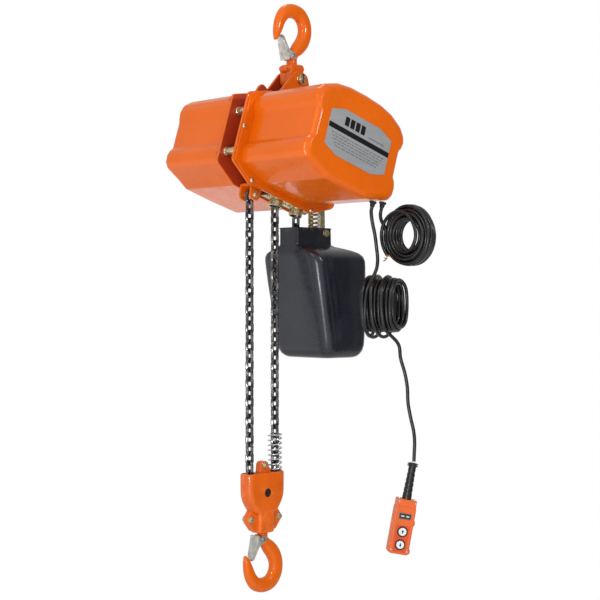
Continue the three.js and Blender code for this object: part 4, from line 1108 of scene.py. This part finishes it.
def bucket():
    outside, inside = bucket_skin(0), bucket_skin(BUCKET_WALL)
    for p in inside[-1]:
        p.z += BUCKET_WALL
    piece("bucket_shell", loft(list(reversed(inside)) + outside), SLATE, "bucket", "chain_bucket",
          sharp=50)
    rim = [slab(box_outline(-10.9, -486.8, 98.9, -484.8, 0.5), side * 28.2, side * 30.8, "X", edge=0.3)
           for side in (-1, 1)]
    piece("bucket_rim", joined(*rim), SLATE, "bucket")
    bolt = moved(through_bolt(31.3, 6.6, 6.8, 5), Matrix.Translation(BUCKET_PIVOT))
    piece("bucket_pin_bolt", bolt, ZINC, "bucket", "bucket_bolt")
    straps = [slab(rounded([(71, -507.8, 8.2), (88, -507.8, 8.2), (86.5, -431.2, 2), (72.5, -431.2, 2)]),
                   side * 18, side * 21, "X", [circle(*BUCKET_PIVOT[1:], 5.4, 24)], 0.6)
              for side in (-1, 1)]
    bar = slab(box_outline(72.5, -434, 86.5, -431.2, 1), -20.8, 20.8, "X", edge=0.5)
    piece("hanger_straps", joined(*straps, bar), ZINC, "hoist_body", "bucket_hanger")
    coil = winding(12, 5, 20, lambda t: -437 - 9.4 * t, at=(0, BUCKET_PIVOT[1], 0))
    piece("hanger_spring", tube(coil, 1.9, 10), ZINC, "hoist_body", flat=False)


# ---- pendant station ----
BUTTONS = (("up", -71, 1), ("down", -100, -1))      # name, height on the station, way the arrow points


def pendant_station():
    def case(half):
        return slab(rounded([(-21.6, 0, 2.5), (-21.6, -17, 2), (-22.8, -19, 2), (-22.8, -121.8, 6),
                             (22.8, -121.8, 6), (22.8, -19, 2), (21.6, -17, 2), (21.6, 0, 2.5)]),
                    half * 0.15, half * 17.4, "Z", edge=2.6, steps=4)

    panel = slab(box_outline(-14.5, -117, 14.5, -57, 4), 15, 17.9, "Z",
                 [circle(0, y, 9.4) for _, y, _ in BUTTONS], 0.7)
    rails = [slab(box_outline(x - 2.4, -121, x + 2.4, -56, 2), 14, 18.9, "Z", edge=1.4)
             for x in (-18.6, 18.6)]
    collar = slab(box_outline(-21, -16, 21, -2, 2), 14, 18.8, "Z", edge=1.4)
    guards = [slab(rounded([(side * 18, y + 8, 2), (side * 24.5, y + 4, 2.5), (side * 26, y - 2, 2.5),
                            (side * 24, y - 7, 2), (side * 18, y - 8, 2)]), 1, 16, "Z", edge=2.2, steps=4)
              for side, y in ((-1, -47), (1, -49), (-1, -112), (1, -112))]
    wells = [disc(9.3, 4, 22, 0.3, 48, "Z", (0, y, 0)) for _, y, _ in BUTTONS]
    front = joined(carved(case(1), *wells), *rails, collar, *guards)
    piece("station_front", front, PLASTIC, "pendant", "pendant_case_front", PENDANT)
    piece("station_panel", panel, PANEL, "pendant", at=PENDANT)
    hood = slab(box_outline(-17, -110, 17, -14, 5), -18.8, -15, "Z", edge=1.4)
    piece("station_back", joined(case(-1), hood), PLASTIC, "pendant", "pendant_case_back",
          PENDANT)
    screws = [disc(2.3, 18.2, 19, 0.35, 20, "Z", (x, y, 0)) for y in (-5, -113) for x in (-18.6, 18.6)]
    screws += [disc(2.6, -2, 2.4, 0.5, 20, "Y", (x, 0, 8)) for x in (-17.5, 17.5)]
    piece("station_screws", joined(*screws), STEEL, "pendant", at=PENDANT)
    frame_edge = slab(box_outline(-14.2, -43.6, 14.2, -30, 2.2), 17, 18.2, "Z", edge=0.4)
    piece("window_frame", frame_edge, CASTING, "pendant", at=PENDANT)
    window = slab(box_outline(-12.9, -42.4, 12.9, -31.2, 1.6), 17, 18.6, "Z", edge=0.3)
    piece("status_window", window, GLASS, "pendant", at=PENDANT)
    marks = [slab(box_outline(x - 3.6, -38, x + 3.6, -35.6, 0.6), 18.4, 18.85, "Z", edge=0.15)
             for x in (-5.8, 5.8)]
    piece("window_lamps", joined(*marks), WHITE, "pendant", at=PENDANT)
    for name, y, sign in BUTTONS:
        bezel = ring(9.5, 12, 16.5, 18.95, 0.7, 56, "Z", (0, y, 0))
        piece(f"{name}_bezel", bezel, BLACK, "pendant", at=PENDANT)
        cap = turned([(0, 10.5), (8.6, 10.5), (8.8, 12), (8.9, 20.6), (8.4, 21.6), (7.2, 22), (6.6, 21.7),
                      (3, 21.5), (0, 21.5)], 56, "Z", (0, y, 0))
        piece(f"{name}_cap", cap, WHITE, f"{name}_button", f"button_{name}", PENDANT)
        corners = ((0, 4.4), (-3, 0), (-1.2, 0), (-1.2, -3.6), (1.2, -3.6), (1.2, 0), (3, 0))
        arrow = slab([Vector((a, y + sign * b)) for a, b in corners], 21.2, 21.8, "Z", edge=0.12, steps=1)
        piece(f"{name}_arrow", arrow, INK, f"{name}_button", at=PENDANT)


# ---- the working pieces inside, which keep their CAD shapes ----
INNER = ((STEEL, "bright_steel", ("load_wheel", "output_gear", "counter_gear", "motor_rotor",
                                  "top_hook_nut")),
         (CASTING, "grey_casting", ("brake_unit", "gear_case", "control_panel", "contact_block")),
         (COPPER, "copper", ("motor_stator",)),
         (BLACK, "black_plastic", ("contactor",)))


def inner_pieces():
    for finish, slot, names in INNER:
        for name in names:
            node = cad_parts[name]
            node.data.materials.clear()
            node.data.materials.append(finish)


# ---- the scene ----
camera()
cords()
studio()
bpy.context.scene.view_settings.view_transform = "Standard"
floor()
hooks()
yoke()
frame_plates()
covers()
rating_plate()
chain_exits()
chains()
load_block()
bucket()
pendant_station()
inner_pieces()
